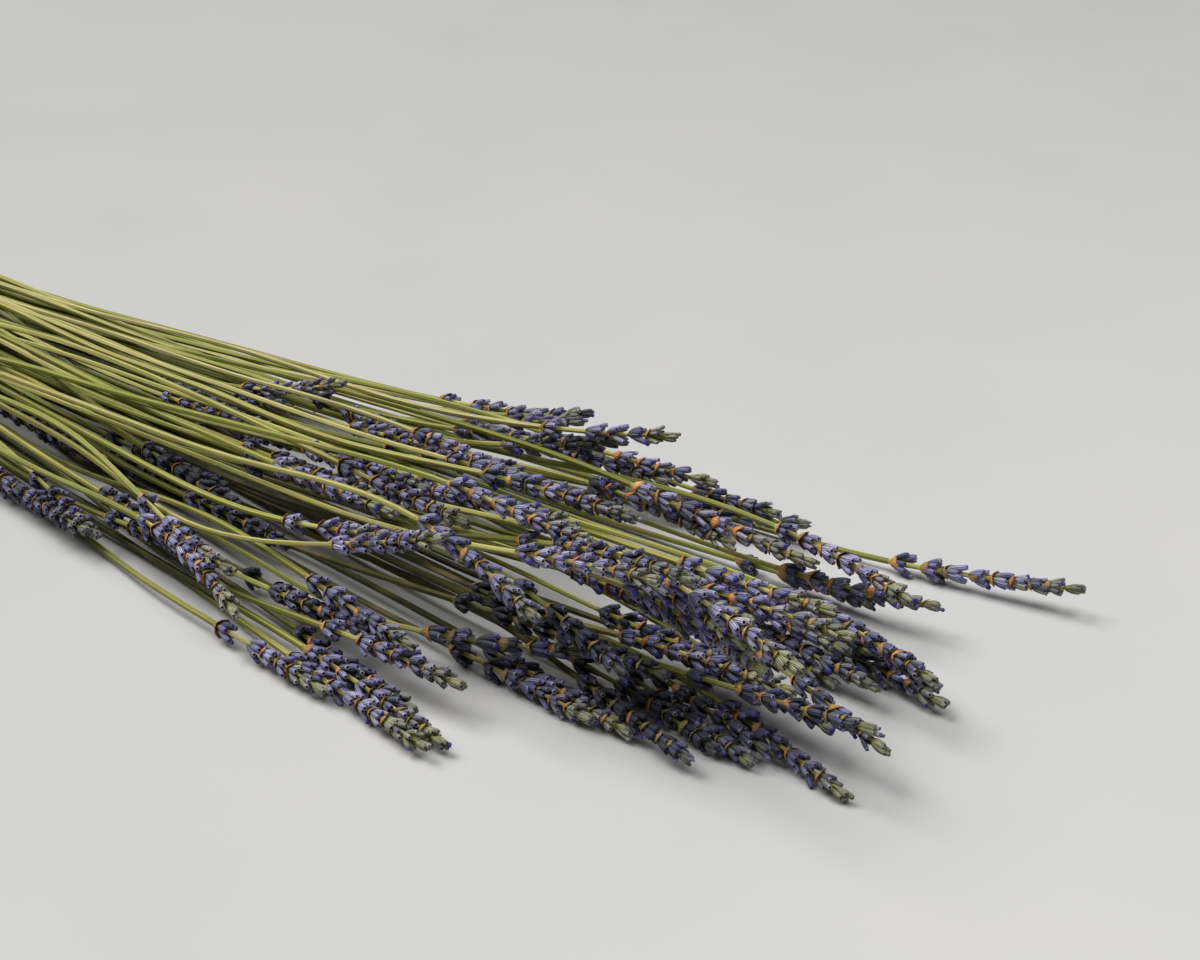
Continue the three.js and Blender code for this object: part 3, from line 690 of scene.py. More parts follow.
def add_whorl(points, sprig, course, x, number, at_tip, head_tone, random):
    """One whorl of a head: two opposite fans of calyxes, with a collar of bracts or the buds of the tip."""
    part = (x - sprig.base_x) / (sprig.tip_x - sprig.base_x)
    taper = mix(1.0, HEAD_TIP_SCALE, max(0, part) ** HEAD_TIP_BEND)
    centre, ahead = course.at(x), course.ahead(x)
    side, up = square_to(ahead)
    # Painted shade: the tone of the calyxes and the collar darkens where the pile lies over the whorl
    light = mix(HEAD_TONE_IN_DEEPEST_PAINTED_SHADE, 1, course.light_at(x))
    turn = math.radians(sprig.turn) + number * math.pi / 2 + random.uniform(*WHORL_TURN)
    opening = CALYX_LEAN * random.uniform(*WHORL_OPENING)
    fullness = sprig.girth * taper * random.uniform(*WHORL_FULLNESS)
    whorl_tone = random.random()
    for middle in (turn, turn + math.pi):
        members = CALYXES_PER_SIDE - (1 if at_tip or random.random() < CALYX_MISSING_SHARE else 0)
        for i in range(members):
            share = (i + 0.5) / members * 2 - 1 + random.uniform(*FAN_SPREAD)
            out = outwards(middle + math.radians(FAN_HALF_ANGLE) * share, side, up)
            lean = (CALYX_TIP_LEAN if at_tip else opening) * random.uniform(*CALYX_LEAN_SCALE)
            direction = leaning(ahead, out, lean)
            foot = (centre + out * CALYX_FOOT * mix(1, CALYX_TIP_FOOT_SCALE, part)
                    + ahead * random.uniform(*CALYX_FOOT_ALONG))
            width = fullness * random.uniform(*CALYX_GIRTH)
            stretch = taper * random.uniform(*CALYX_STRETCH)
            tone = (HEAD_TONE_SHARE * head_tone + WHORL_TONE_SHARE * whorl_tone
                    + OWN_TONE_SHARE * random.random())
            roll = random.uniform(*CALYX_ROLL)
            facing = out * math.cos(CALYX_ROLL[1]) + np.cross(ahead, out) * math.sin(roll)
            points.add(foot, CALYX, direction=direction, facing=facing, size=(width, width, stretch),
                       tone=light * mix(*CALYX_TONE, tone), place=part)
            if random.random() < FLOWERING_SHARE:
                mouth = foot + direction * CALYX_LENGTH * stretch * PETALS_PLACE
                points.add(mouth, PETALS, direction=direction, facing=facing,
                           size=(width * random.uniform(*PETALS_SIZE),) * 3, tone=random.random(), place=part)
    if not at_tip and random.random() < COLLAR_SHARE:
        out = outwards(turn + random.uniform(*COLLAR_TURN), side, up)
        reach = mix(1, COLLAR_TIP_REACH, part) * sprig.girth * random.uniform(*COLLAR_REACH)
        size = (reach, reach * random.uniform(*COLLAR_FLATNESS),
                mix(1, COLLAR_TIP_HEIGHT, part) * random.uniform(*COLLAR_HEIGHT))
        points.add(centre - ahead * COLLAR_BACK, COLLAR, direction=ahead, facing=out, size=size,
                   tone=light * random.uniform(*COLLAR_TONE), place=part)
    if random.random() < SCALE_LEAF_SHARE:
        out = outwards(random.uniform(0, 2 * math.pi), side, up)
        root = centre + out * SCALE_LEAF_ROOT + ahead * SCALE_LEAF_ALONG
        add_scale_leaf(points, root, ahead, out, lean=(8, 20), scale=taper, size=(0.55, 0.95), place=part,
                       random=random)
    for i in range(BUDS_AT_TIP if at_tip else 0):
        out = outwards(turn + i * BUD_TURN, side, up)
        direction = leaning(ahead, out, random.uniform(*BUD_LEAN))
        size = (taper * random.uniform(*BUD_SIZE),) * 3
        foot = centre + out * BUD_FOOT + ahead * random.uniform(*BUD_ALONG)
        points.add(foot, BUD, direction=direction, facing=out, size=size, tone=random.random(), place=1)


def linear(hex_colour):
    """An sRGB hex colour as linear RGBA."""
    values = [int(hex_colour[i:i + 2], 16) / 255 for i in (1, 3, 5)]
    return tuple(v / 12.92 if v <= 0.04045 else ((v + 0.055) / 1.055) ** 2.4 for v in values) + (1.0,)


def add_node(tree, kind, inputs=None, output=0, stops=(), **settings):
    """Add a node with its settings, its values and links and a ramp's colour stops; give one output."""
    node = tree.nodes.new(kind)
    for name, value in settings.items():
        setattr(node, name, value)
    for name, value in (inputs or {}).items():
        if isinstance(value, bpy.types.NodeSocket):
            tree.links.new(value, node.inputs[name])
        else:
            node.inputs[name].default_value = value
    for _ in stops[2:]:
        node.color_ramp.elements.new(0.5)
    for element, (place, colour) in zip(node.color_ramp.elements if stops else (), stops):
        element.position = place
        element.color = linear(colour)
    return node.outputs[output] if node.outputs else None


def new_material(name):
    """An empty node material, and what adds a node to it."""
    material = bpy.data.materials.new(name)
    material.use_nodes = True
    material.node_tree.nodes.clear()
    return material, partial(add_node, material.node_tree)


def finish_material(node, colour, layers, height, strength, depth, values):
    """The end of a material: the layers over its colour, its bump and its shader with its own values.

    A layer is its way of mixing, its factor and its colour. The depth of the bump is in millimetres.
    """
    for way, factor, layer in layers:
        # A Mix node mixes colours from its inputs 6 and 7 into its output 2, by its input 0
        layer = linear(layer) if isinstance(layer, str) else layer
        colour = node("ShaderNodeMix", {0: factor, 6: colour, 7: layer}, 2, data_type="RGBA", blend_type=way)
    bump = node("ShaderNodeBump", {"Height": height, "Strength": strength, "Distance": depth * MM})
    shader = node("ShaderNodeBsdfPrincipled", {"Base Color": colour, "Normal": bump, **values})
    node("ShaderNodeOutputMaterial", {"Surface": shader})


def dried_stem_material():
    """Dried lavender stem: a square woody herb stem, straw to olive green, matt, finely ridged along."""
    material, node = new_material("dried_lavender_stem")
    around, along, tone, twist = [node("ShaderNodeAttribute", output="Fac", attribute_name=name)
                                  for name in ("around", "along", "tone", "twist")]
    # The tone is the stem's own tone times the painted shade under the pile; below 0.25 it is painted shade
    # alone
    base = node("ShaderNodeValToRGB", {"Fac": tone}, stops=[
        (0.0, "#34371c"), (0.25, "#8d9440"), (0.45, "#b0b65c"), (0.65, "#c6c672"), (0.85, "#d6d28a"),
        (1.0, "#e2daa8")])
    # Fibres 0.25 mm wide and some 20 mm long run along the stem
    place = node("ShaderNodeCombineXYZ", {"X": around, "Y": along, "Z": twist})
    place = node("ShaderNodeVectorMath", {0: place, 1: (14.0, 50.0, 6.0)}, operation="MULTIPLY")
    fibres = node("ShaderNodeTexNoise", {"Vector": place, "Scale": 1.0, "Detail": 3.0})
    shade = node("ShaderNodeValToRGB", {"Fac": fibres}, stops=[
        (0.3, "#827f5a"), (0.55, "#dedbbd"), (0.75, "#ffffff")])
    # Painted shade darkens the hollow faces, so the four corners are paler
    hollow_face_shade = node("ShaderNodeMath", {0: around, 1: 4 * 2 * math.pi}, operation="MULTIPLY")
    hollow_face_shade = node("ShaderNodeMath", {0: hollow_face_shade}, operation="COSINE")
    hollow_face_shade = node("ShaderNodeMath", {0: hollow_face_shade, 1: 0.5, 2: 0.5}, operation="MULTIPLY_ADD")
    hollow_face_shade = node("ShaderNodeValToRGB", {"Fac": hollow_face_shade}, stops=[
        (0.0, "#b5b18a"), (0.6, "#e4e1c8"), (0.9, "#ffffff")])
    # Brown dry patches some 14 mm across
    spot = node("ShaderNodeTexCoord", output="Object")
    dry = node("ShaderNodeTexNoise", {"Vector": spot, "Scale": 1 / (14.0 * MM), "Detail": 2.0})
    dry = node("ShaderNodeValToRGB", {"Fac": dry}, stops=[(0.5, "#000000"), (0.72, "#ffffff")])
    dry = node("ShaderNodeMath", {0: dry, 1: 0.4}, operation="MULTIPLY")
    layers = [("MULTIPLY", 0.6, shade), ("MULTIPLY", 0.7, hollow_face_shade), ("MIX", dry, "#a58f52")]
    finish_material(node, base, layers, height=fibres, strength=0.5, depth=0.15, values={
        "Roughness": 0.62, "Specular IOR Level": 0.35})
    return material


def dried_calyx_material():
    """Dried lavender calyx: a downy ribbed tube, grey-green at its foot and slate violet at its mouth."""
    material, node = new_material("dried_lavender_calyx")
    uv = node("ShaderNodeUVMap", uv_map="around_along")
    around, along = node("ShaderNodeSeparateXYZ", {"Vector": uv}).node.outputs[:2]
    tone, place = [node("ShaderNodeAttribute", output="Fac", attribute_name=name)
                   for name in ("tone", "place")]
    spot = node("ShaderNodeTexCoord", output="Object")
    mottle = node("ShaderNodeTexNoise", {"Vector": spot, "Scale": 1 / (1.1 * MM), "Detail": 3.0})
    # The tone is the calyx's own tone times the painted shade under the pile; below 0.25 it is painted shade
    # alone
    low = node("ShaderNodeValToRGB", {"Fac": tone}, stops=[
        (0.0, "#15160f"), (0.35, "#383b28"), (0.6, "#666a4c"), (1.0, "#a2a588")])
    high = node("ShaderNodeValToRGB", {"Fac": tone}, stops=[
        (0.0, "#15171d"), (0.3, "#31354a"), (0.5, "#61638a"), (0.65, "#918dbe"), (0.8, "#b6b1dc"),
        (1.0, "#dcdaea")])
    # The violet begins at an uneven height
    violet = node("ShaderNodeMath", {0: mottle, 1: 0.5}, operation="SUBTRACT")
    violet = node("ShaderNodeMath", {0: violet, 1: 0.7, 2: along}, operation="MULTIPLY_ADD")
    violet = node("ShaderNodeValToRGB", {"Fac": violet}, stops=[(0.18, "#000000"), (0.7, "#ffffff")])
    # Calyxes near the tip of a head stay yellow green
    young = node("ShaderNodeMath", {0: tone, 1: 0.5}, operation="SUBTRACT")
    young = node("ShaderNodeMath", {0: young, 1: 0.8, 2: place}, operation="MULTIPLY_ADD")
    young = node("ShaderNodeValToRGB", {"Fac": young}, stops=[(0.72, "#000000"), (0.98, "#d8d8d8")])
    green = node("ShaderNodeValToRGB", {"Fac": mottle}, stops=[(0.35, "#7c8630"), (0.65, "#b8b444")])
    # Thirteen ribs run along the real calyx; nine are drawn, coarse enough to show, with painted shade in the
    # grooves between them
    ribs = node("ShaderNodeMath", {0: around, 1: 9 * 2 * math.pi}, operation="MULTIPLY")
    ribs = node("ShaderNodeMath", {0: ribs}, operation="SINE")
    ribs = node("ShaderNodeMath", {0: ribs, 1: 0.5, 2: 0.5}, operation="MULTIPLY_ADD")
    painted_groove_shade = node("ShaderNodeValToRGB", {"Fac": ribs}, stops=[
        (0.2, "#57565f"), (0.6, "#d6d6da"), (0.9, "#ffffff")])
    # The rim of the mouth is pale on some calyxes, and its inside is painted dark as shade
    rim = node("ShaderNodeValToRGB", {"Fac": along}, stops=[(0.88, "#000000"), (0.97, "#ffffff")])
    some = node("ShaderNodeTexNoise", {"Vector": spot, "Scale": 1 / (4.0 * MM), "Detail": 1.0})
    some = node("ShaderNodeValToRGB", {"Fac": some}, stops=[(0.5, "#1c1c1c"), (0.66, "#d0d0d0")])
    rim = node("ShaderNodeMath", {0: rim, 1: some}, operation="MULTIPLY")
    pale = node("ShaderNodeValToRGB", {"Fac": tone}, stops=[(0.1, "#3c3b42"), (0.6, "#d6d3dd")])
    # Painted shade inside the mouth
    inside = node("ShaderNodeMath", {0: along, 1: 1.06}, operation="GREATER_THAN")
    height = node("ShaderNodeMath", {0: ribs, 1: 0.6, 2: mottle}, operation="MULTIPLY_ADD")
    layers = [("MIX", violet, high), ("MIX", young, green), ("MULTIPLY", 0.85, painted_groove_shade), ("MIX", rim, pale),
              ("MIX", inside, "#2e2a36")]
    # Fine down gives the calyx a pale edge
    finish_material(node, low, layers, height=height, strength=0.6, depth=0.12, values={
        "Roughness": 0.62, "Specular IOR Level": 0.4, "Sheen Weight": 0.12, "Sheen Roughness": 0.4,
        "Sheen Tint": linear("#d9d7de")})
    return material


def dried_bract_material():
    """Dried lavender bract: thin and papery, olive brown to orange, with darker veins and tips."""
    material, node = new_material("dried_lavender_bract")
    uv = node("ShaderNodeUVMap", uv_map="around_along")
    across, along = node("ShaderNodeSeparateXYZ", {"Vector": uv}).node.outputs[:2]
    tone, place = [node("ShaderNodeAttribute", output="Fac", attribute_name=name)
                   for name in ("tone", "place")]
    spot = node("ShaderNodeTexCoord", output="Object")
    # The tone of a collar is its own tone times the painted shade under the pile; the tone of a scale leaf
    # has no painted shade
    dry = node("ShaderNodeValToRGB", {"Fac": tone}, stops=[
        (0.0, "#4a4434"), (0.2, "#7e6c48"), (0.4, "#a98048"), (0.65, "#c9843e"), (0.85, "#dc9048"),
        (1.0, "#e2ac6c")])
    # Bracts near the tip of a head are greener
    near_tip = node("ShaderNodeValToRGB", {"Fac": place}, stops=[(0.55, "#000000"), (0.95, "#ffffff")])
    fresh = node("ShaderNodeValToRGB", {"Fac": tone}, stops=[
        (0.0, "#8c8a45"), (0.6, "#a3a058"), (1.0, "#b08a48")])
    spots = node("ShaderNodeTexNoise", {"Vector": spot, "Scale": 1 / (2.2 * MM), "Detail": 2.0})
    spots = node("ShaderNodeValToRGB", {"Fac": spots}, stops=[(0.45, "#000000"), (0.65, "#909090")])
    # Veins 0.3 mm apart fan out along the bract
    fan = node("ShaderNodeMath", {0: along, 1: 0.1}, operation="MULTIPLY")
    fan = node("ShaderNodeCombineXYZ", {"X": across, "Y": fan})
    veins = node("ShaderNodeTexWave", {"Vector": fan, "Scale": 4.0, "Distortion": 1.5, "Detail": 1.0}, "Fac")
    veined = node("ShaderNodeValToRGB", {"Fac": veins}, stops=[(0.2, "#8a6a4a"), (0.7, "#ffffff")])
    # The tip is grey brown from an uneven height, and the foot is olive
    tip = node("ShaderNodeTexNoise", {"Vector": spot, "Scale": 1 / (1.5 * MM), "Detail": 3.0})
    tip = node("ShaderNodeMath", {0: tip, 1: 0.6, 2: along}, operation="MULTIPLY_ADD")
    tip = node("ShaderNodeValToRGB", {"Fac": tip}, stops=[(0.75, "#000000"), (1.0, "#ffffff")])
    foot = node("ShaderNodeValToRGB", {"Fac": along}, stops=[(0.0, "#ffffff"), (0.3, "#000000")])
    tip, foot = [node("ShaderNodeMath", {0: end, 1: 0.6}, operation="MULTIPLY") for end in (tip, foot)]
    layers = [("MIX", near_tip, fresh), ("MIX", spots, "#8f8550"), ("MULTIPLY", 0.45, veined),
              ("MIX", tip, "#77685c"), ("MIX", foot, "#85804c")]
    finish_material(node, dry, layers, height=veins, strength=0.4, depth=0.1, values={
        "Roughness": 0.6, "Specular IOR Level": 0.3})
    return material


def dried_petal_material():
    """Dried lavender petals: crumpled, thin and deep violet blue."""
    material, node = new_material("dried_lavender_petals")
    tone = node("ShaderNodeAttribute", output="Fac", attribute_name="tone")
    violet = node("ShaderNodeValToRGB", {"Fac": tone}, stops=[
        (0.0, "#403c90"), (0.5, "#544fa8"), (0.8, "#6f69bb"), (1.0, "#8c86b8")])
    # Creases 0.5 mm apart
    spot = node("ShaderNodeTexCoord", output="Object")
    creases = node("ShaderNodeTexNoise", {"Vector": spot, "Scale": 1 / (0.5 * MM), "Detail": 3.0})
    creased = node("ShaderNodeValToRGB", {"Fac": creases}, stops=[(0.35, "#6f6a90"), (0.65, "#ffffff")])
    layers = [("MULTIPLY", 0.5, creased)]
    finish_material(node, violet, layers, height=creases, strength=0.7, depth=0.2, values={
        "Roughness": 0.7, "Specular IOR Level": 0.25})
    return material


def dried_bud_material():
    """Dried lavender bud: small, downy and closed, yellow green with a violet tip."""
    material, node = new_material("dried_lavender_bud")
    uv = node("ShaderNodeUVMap", uv_map="around_along")
    along = node("ShaderNodeSeparateXYZ", {"Vector": uv}, "Y")
    tone = node("ShaderNodeAttribute", output="Fac", attribute_name="tone")
    spot = node("ShaderNodeTexCoord", output="Object")
    mottle = node("ShaderNodeTexNoise", {"Vector": spot, "Scale": 1 / (0.9 * MM), "Detail": 3.0})
    low = node("ShaderNodeValToRGB", {"Fac": tone}, stops=[
        (0.0, "#7c8240"), (0.6, "#9a9c50"), (1.0, "#84884e")])
    high = node("ShaderNodeValToRGB", {"Fac": tone}, stops=[
        (0.0, "#5d5a84"), (0.6, "#6d6a94"), (1.0, "#85829a")])
    # The violet begins at an uneven height
    violet = node("ShaderNodeMath", {0: mottle, 1: 0.5}, operation="SUBTRACT")
    violet = node("ShaderNodeMath", {0: along, 1: violet}, operation="ADD")
    violet = node("ShaderNodeValToRGB", {"Fac": violet}, stops=[(0.35, "#000000"), (0.85, "#ffffff")])
    layers = [("MIX", violet, high)]
    finish_material(node, low, layers, height=mottle, strength=0.5, depth=0.12, values={
        "Roughness": 0.85, "Specular IOR Level": 0.2, "Sheen Weight": 0.3, "Sheen Tint": linear("#d5d2e0")})
    return material


def closed_shape(name, rows):
    """A closed shape from rings of points, each ((x, y, z), (u, v)), with a UV map around and along."""
    spots = [tuple(np.array(spot) * MM) for row in rows for spot, _ in row]
    uvs = [uv for row in rows for _, uv in row]
    sides = len(rows[0])
    last = len(spots) - sides
    faces, corners = [], []
    for start in range(0, last, sides):
        for i in range(sides):
            after = (i + 1) % sides
            face = [start + i, start + after, start + sides + after, start + sides + i]
            faces.append(face)
            # The map closes at 1, not back at 0
            wrap = 0.0 if after else 1.0
            corners += [(uvs[spot][0] + extra, uvs[spot][1]) for spot, extra in zip(face, (0, wrap, wrap, 0))]
    for cap in (list(range(sides))[::-1], list(range(last, last + sides))):
        faces.append(cap)
        corners += [uvs[spot] for spot in cap]
    mesh = bpy.data.meshes.new(name)
    mesh.from_pydata(spots, [], faces)
    layer = mesh.uv_layers.new(name="around_along")
    layer.data.foreach_set("uv", np.array(corners).ravel())
    mesh.shade_smooth()
    return bpy.data.objects.new(name, mesh)


def ring(sides):
    """The corners of a ring, each with its number, its angle and its share of the way round."""
    return [(i, 2 * math.pi * i / sides, i / sides) for i in range(sides)]


def calyx_shape():
    """A calyx: a plump tube that draws in to a small toothed mouth."""
    bend, tooth_height = 0.35, 0.03
    rows = []
    # Share of its length, reach from its line, and place along the material, where the mouth is past 1
    for along, reach, v in [(0.0, 0.4, 0.0), (0.18, 0.76, 0.18), (0.48, 1.0, 0.48), (0.78, 0.97, 0.78),
                            (0.96, 0.76, 0.96), (1.0, 0.56, 1.0), (0.88, 0.32, 1.2)]:
        row = []
        radius = CALYX_RADIUS * reach
        for i, angle, u in ring(CALYX_SIDES):
            tooth = tooth_height * (-1) ** i if v in (0.96, 1.0) else 0
            row.append(((math.cos(angle) * radius - bend * along * along, math.sin(angle) * radius,
                         (along + tooth) * CALYX_LENGTH), (u, v)))
        rows.append(row)
    return closed_shape("calyx", rows)


def bud_shape():
    """A closed bud."""
    rows = []
    for along, reach in [(0.0, 0.45), (0.3, 0.9), (0.65, 0.8), (0.9, 0.4), (1.0, 0.1)]:
        radius = BUD_RADIUS * reach
        rows.append([((math.cos(angle) * radius, math.sin(angle) * radius, along * BUD_LENGTH), (u, along))
                     for _, angle, u in ring(6)])
    return closed_shape("bud", rows)


def collar_shape():
    """A collar of thin bracts round the foot of a whorl: a low cup with a broad pointed lobe on two sides."""
    point, notch, narrowing = 1.6, 0.3, 0.8
    flare, flare_from = 0.45, 0.45
    # Share of the way up to the rim, reach from the rachis; the inside comes back down from the rim
    outer = [(-0.4, 0.8), (0.15, 1.45), (0.6, 2.15), (1.0, 2.45)]
    inner = [(share, reach - COLLAR_THICKNESS) for share, reach in outer[2:0:-1]]
    rows = []
    for share, reach in outer + inner:
        row = []
        for i, angle, u in ring(10):
            lobe = abs(math.cos(angle)) ** point
            rim = COLLAR_LOW_SIDE + COLLAR_LOBE * lobe + (notch if i % 2 else 0)
            height = share * (rim if share > 0 else 1)
            radius = (mix(reach, reach * mix(narrowing, 1, lobe), max(0, share))
                      + flare * lobe * max(0, share - flare_from))
            row.append(((math.cos(angle) * radius, math.sin(angle) * radius, height),
                        (u, max(0, share) * mix(0.5, 1, lobe))))
        rows.append(row)
    return closed_shape("collar", rows)


def scale_leaf_shape():
    """A narrow dry scale leaf with a fine point, which curls away from the stem."""
    curl = 0.7
    rows = []
    for along, half_width in [(0.0, 0.3), (0.3, 0.42), (0.7, 0.26), (1.0, 0.04)]:
        rows.append([((curl * along * along + SCALE_LEAF_THICKNESS * math.cos(angle),
                       half_width * math.sin(angle), along * SCALE_LEAF_LENGTH), (u, along))
                     for _, angle, u in ring(4)])
    return closed_shape("scale_leaf", rows)


def petals_shape():
    """Dry crumpled petals that stick out of a calyx's mouth."""
    crumple, lift, bend = 0.4, 0.25, 0.3
    rows = []
    for number, (along, reach) in enumerate([(0.0, 0.4), (0.4, 0.5), (0.75, 0.85), (1.0, 0.5)]):
        row = []
        for i, angle, u in ring(6):
            radius = reach * (1 + crumple * math.sin(i * 2.4 + number * 1.7))
            height = along * PETALS_LENGTH + lift * math.sin(i * 4.1 + number)
            row.append(((math.cos(angle) * radius - bend * along, math.sin(angle) * radius, height),
                        (u, along)))
        rows.append(row)
    return closed_shape("petals", rows)


def grow_tree():
    """The node tree that sweeps stems along lines and sets florets on points."""
    tree = bpy.data.node_groups.new("grow_sprigs", "GeometryNodeTree")
    node = partial(add_node, tree)
    face = tree.interface
    face.new_socket("Geometry", in_out="OUTPUT", socket_type="NodeSocketGeometry")
    face.new_socket("Geometry", in_out="INPUT", socket_type="NodeSocketGeometry")
    kinds = {"Calyx": CALYX, "Collar": COLLAR, "Scale leaf": SCALE_LEAF, "Petals": PETALS, "Bud": BUD}
    for name in kinds:
        face.new_socket(name, in_out="INPUT", socket_type="NodeSocketObject")
    for name in ("Stem", *kinds):
        face.new_socket(name + " material", in_out="INPUT", socket_type="NodeSocketMaterial")
    for name, value in [("Hollow of faces", 0.7), ("Unevenness", 0.22 * MM), ("Uneven spacing", 1.6 * MM),
                        ("Surface height", 0.05 * MM)]:
        face.new_socket(name, in_out="INPUT", socket_type="NodeSocketFloat").default_value = value
    given = node("NodeGroupInput").node.outputs
    kind, direction, facing, size, thickness, twist = [
        node("GeometryNodeInputNamedAttribute", {"Name": name}, "Attribute", data_type=POINT_ATTRIBUTES[name])
        for name in ("kind", "direction", "facing", "size", "thickness", "twist")]
    along_line = node("GeometryNodeSplineParameter").node.outputs
    position = node("GeometryNodeInputPosition")

    # The square section: corners stand proud of hollow faces, with three points to a corner and its face
    section = node("GeometryNodeCurvePrimitiveCircle", {"Resolution": 12, "Radius": 1.0}, mode="RADIUS")
    third = node("ShaderNodeMath", {0: node("GeometryNodeInputIndex"), 1: 3.0}, operation="MODULO")
    is_face = node("ShaderNodeMath", {0: third, 1: 0.5}, operation="GREATER_THAN")
    reach = node("ShaderNodeMix", {0: is_face, 2: 1.0, 3: given["Hollow of faces"]})
    scaled = node("ShaderNodeVectorMath", {0: position, "Scale": reach}, operation="SCALE")
    section = node("GeometryNodeSetPosition", {"Geometry": section, "Position": scaled})
    section = node("GeometryNodeStoreNamedAttribute", {
        "Geometry": section, "Name": "around", "Value": along_line["Factor"]},
        data_type="FLOAT", domain="POINT")

    # Stems: the section swept along each line
    lines = node("GeometryNodeMeshToCurve", {"Mesh": given["Geometry"]})
    lines = node("GeometryNodeStoreNamedAttribute", {
        "Geometry": lines, "Name": "along", "Value": along_line["Length"]},
        data_type="FLOAT", domain="POINT")
    lines = node("GeometryNodeSetCurveTilt", {"Curve": lines, "Tilt": twist})
    stems = node("GeometryNodeCurveToMesh", {
        "Curve": lines, "Profile Curve": section, "Scale": thickness, "Fill Caps": True})
    stems = node("GeometryNodeSetShadeSmooth", {"Geometry": stems})
    parts = [node("GeometryNodeSetMaterial", {"Geometry": stems, "Material": given["Stem material"]})]

    # Florets: each shape turned to its point's direction and facing
    turned = node("FunctionNodeAlignRotationToVector", {"Vector": direction}, axis="Z")
    turned = node("FunctionNodeAlignRotationToVector", {"Rotation": turned, "Vector": facing}, axis="X",
                  pivot_axis="Z")
    for name, number in kinds.items():
        chosen = node("FunctionNodeCompare", {2: kind, 3: number}, data_type="INT", operation="EQUAL")
        points = node("GeometryNodeMeshToPoints", {"Mesh": given["Geometry"], "Selection": chosen})
        shape = node("GeometryNodeObjectInfo", {"Object": given[name]}, "Geometry")
        placed = node("GeometryNodeInstanceOnPoints", {
            "Points": points, "Instance": shape, "Rotation": turned, "Scale": size})
        solid = node("GeometryNodeRealizeInstances", {"Geometry": placed})
        parts.append(node("GeometryNodeSetMaterial", {
            "Geometry": solid, "Material": given[name + " material"]}))
    joined = node("GeometryNodeJoinGeometry")
    for part in reversed(parts):
        tree.links.new(part, joined.node.inputs[0])

    # No two florets are quite alike, and nothing sinks into the surface
    frequency = node("ShaderNodeMath", {0: 1.0, 1: given["Uneven spacing"]}, operation="DIVIDE")
    waves = node("ShaderNodeTexNoise", {"Vector": position, "Scale": frequency, "Detail": 1.0}, "Color")
    centred = node("ShaderNodeVectorMath", {0: waves, 1: (0.5, 0.5, 0.5)}, operation="SUBTRACT")
    offset = node("ShaderNodeVectorMath", {0: centred, "Scale": given["Unevenness"]}, operation="SCALE")
    uneven = node("GeometryNodeSetPosition", {"Geometry": joined, "Offset": offset})
    x, y, z = node("ShaderNodeSeparateXYZ", {"Vector": position}).node.outputs
    height = node("ShaderNodeMath", {0: z, 1: given["Surface height"]}, operation="MAXIMUM")
    pressed = node("ShaderNodeCombineXYZ", {"X": x, "Y": y, "Z": height})
    rested = node("GeometryNodeSetPosition", {"Geometry": uneven, "Position": pressed})
    node("NodeGroupOutput", {"Geometry": rested})
    return tree


def grow(points, name, tree, inputs):
    """One finished mesh from the points of a piece."""
    source = bpy.data.objects.new(name + "_points", points.to_mesh(name + "_points"))
    bpy.context.scene.collection.objects.link(source)
    modifier = source.modifiers.new("grow", "NODES")
    modifier.node_group = tree
    for item in tree.interface.items_tree:
        if item.in_out == "INPUT" and item.name in inputs:
            modifier[item.identifier] = inputs[item.name]
    bpy.context.view_layer.update()
    evaluated = source.evaluated_get(bpy.context.evaluated_depsgraph_get())
    mesh = bpy.data.meshes.new_from_object(evaluated)
    source.modifiers.remove(modifier)
    bpy.data.objects.remove(source)
    mesh.name = name
    piece = bpy.data.objects.new(name, mesh)
    bpy.context.scene.collection.objects.link(piece)
    return piece


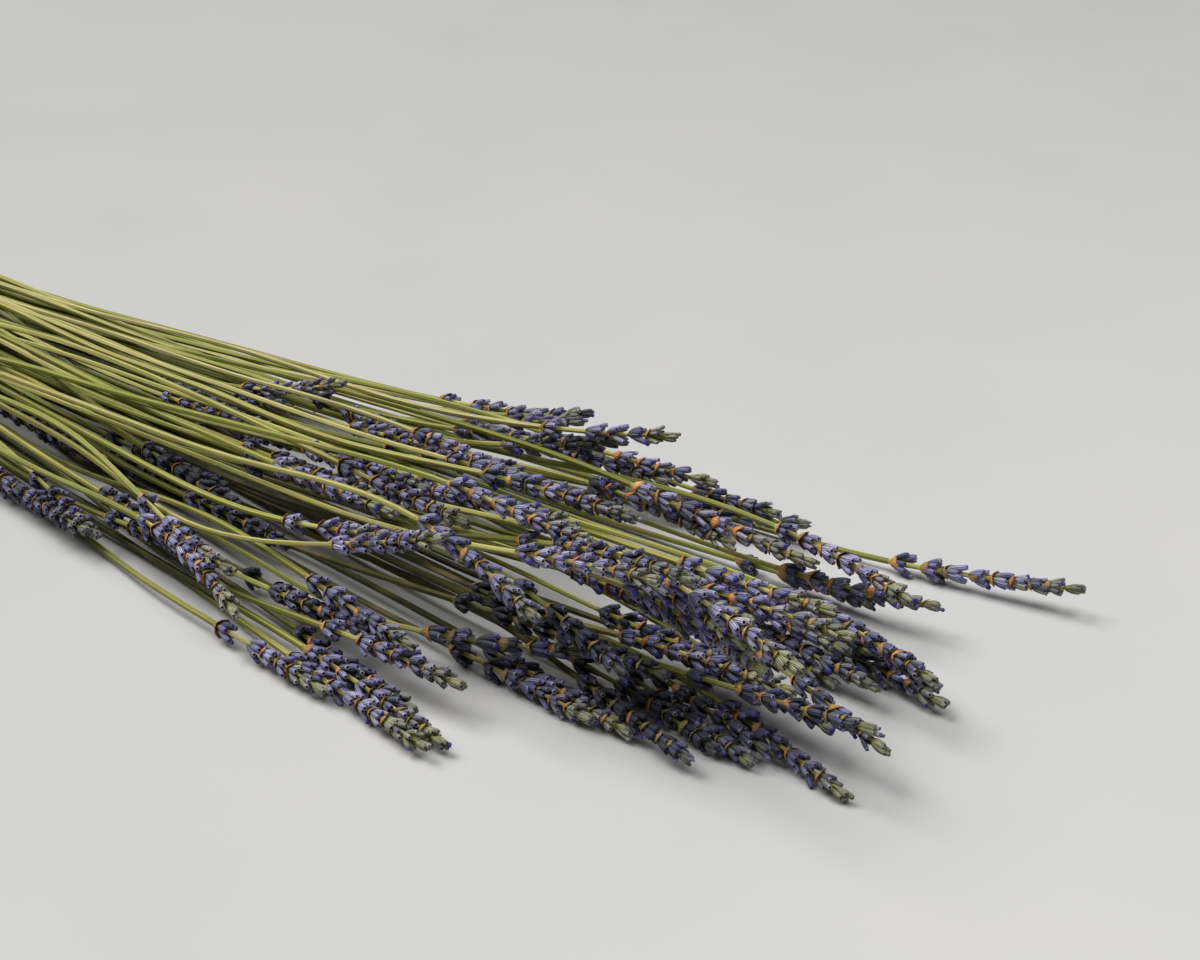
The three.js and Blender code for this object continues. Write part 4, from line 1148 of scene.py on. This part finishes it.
def dress_bunch():
    """Replace every strand's stems and heads with their finer pieces."""
    sprigs = make_sprigs()
    courses = settle(sprigs, place_meetings(sprigs))
    bends = smooth_bends(courses)
    light = light_in_pile(sprigs, courses)
    bract = dried_bract_material()
    inputs = {
        "Calyx": calyx_shape(), "Collar": collar_shape(), "Scale leaf": scale_leaf_shape(),
        "Petals": petals_shape(), "Bud": bud_shape(),
        "Stem material": dried_stem_material(), "Calyx material": dried_calyx_material(),
        "Collar material": bract, "Scale leaf material": bract,
        "Petals material": dried_petal_material(), "Bud material": dried_bud_material(),
    }
    tree = grow_tree()
    random = np.random.default_rng(LOOKS_SEED)
    for strand in range(len(STRANDS)):
        stems, heads = Points(), Points()
        for number, sprig in enumerate(sprigs):
            if sprig.strand == strand:
                course = Course(courses[number], bends[number], light[number])
                add_stem(stems, sprig, course, random)
                add_head(heads, sprig, course, random)
        for points, part, slot in ((stems, "stems", "dried_stem"), (heads, "heads", "dried_flower")):
            node = f"{part}_{strand + 1:02d}"
            piece = grow(points, "dried_" + node, tree, inputs)
            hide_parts(node)
            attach(piece, "root")


def table_material():
    """Matt painted table top: pale warm grey with a faint unevenness."""
    material, node = new_material("matt_painted_table")
    spot = node("ShaderNodeTexCoord", output="Object")
    patches, grain = [node("ShaderNodeTexNoise", {"Vector": spot, "Scale": 1 / (size * MM), "Detail": 2.0})
                      for size in (90.0, 1.0)]
    colour = node("ShaderNodeValToRGB", {"Fac": patches}, stops=[(0.3, "#bdbdbb"), (0.7, "#c1c0be")])
    finish_material(node, colour, [], height=grain, strength=0.05, depth=0.05, values={
        "Roughness": 0.7, "Specular IOR Level": 0.2})
    return material


def make_table():
    """The plain pale floor, in metres."""
    reach = 6.0
    mesh = bpy.data.meshes.new("table")
    corners = [(-reach, -reach, 0), (reach, -reach, 0), (reach, reach, 0), (-reach, reach, 0)]
    mesh.from_pydata(corners, [], [(0, 1, 2, 3)])
    table = bpy.data.objects.new("table", mesh)
    bpy.context.scene.collection.objects.link(table)
    mesh.materials.append(table_material())


def add_light(name, place, target, size, power, colour):
    """A square soft light that faces a target, in metres and watts."""
    data = bpy.data.lights.new(name, "AREA")
    data.shape = "SQUARE"
    data.size = size
    data.energy = power
    data.color = linear(colour)[:3]
    light = bpy.data.objects.new(name, data)
    light.location = place
    light.rotation_euler = (Vector(target) - Vector(place)).to_track_quat("-Z", "Y").to_euler()
    bpy.context.scene.collection.objects.link(light)


def light_room():
    """A large window from the left, a small lamp over the right side, and a faint even light."""
    add_light("window", place=(-3.4, -0.9, 4.6), target=(0.1, 0, 0), size=4.2, power=388, colour="#ffffff")
    add_light("overhead", place=(0.75, 0, 1.1), target=(0.75, 0, 0), size=0.9, power=9.5, colour="#fdfdff")
    world = bpy.data.worlds.new("studio")
    world.use_nodes = True
    background = world.node_tree.nodes["Background"].inputs
    background["Color"].default_value = linear("#f2f2f4")
    background["Strength"].default_value = 0.09
    bpy.context.scene.world = world
    bpy.context.scene.view_settings.view_transform = "Standard"


dress_bunch()
make_table()
light_room()
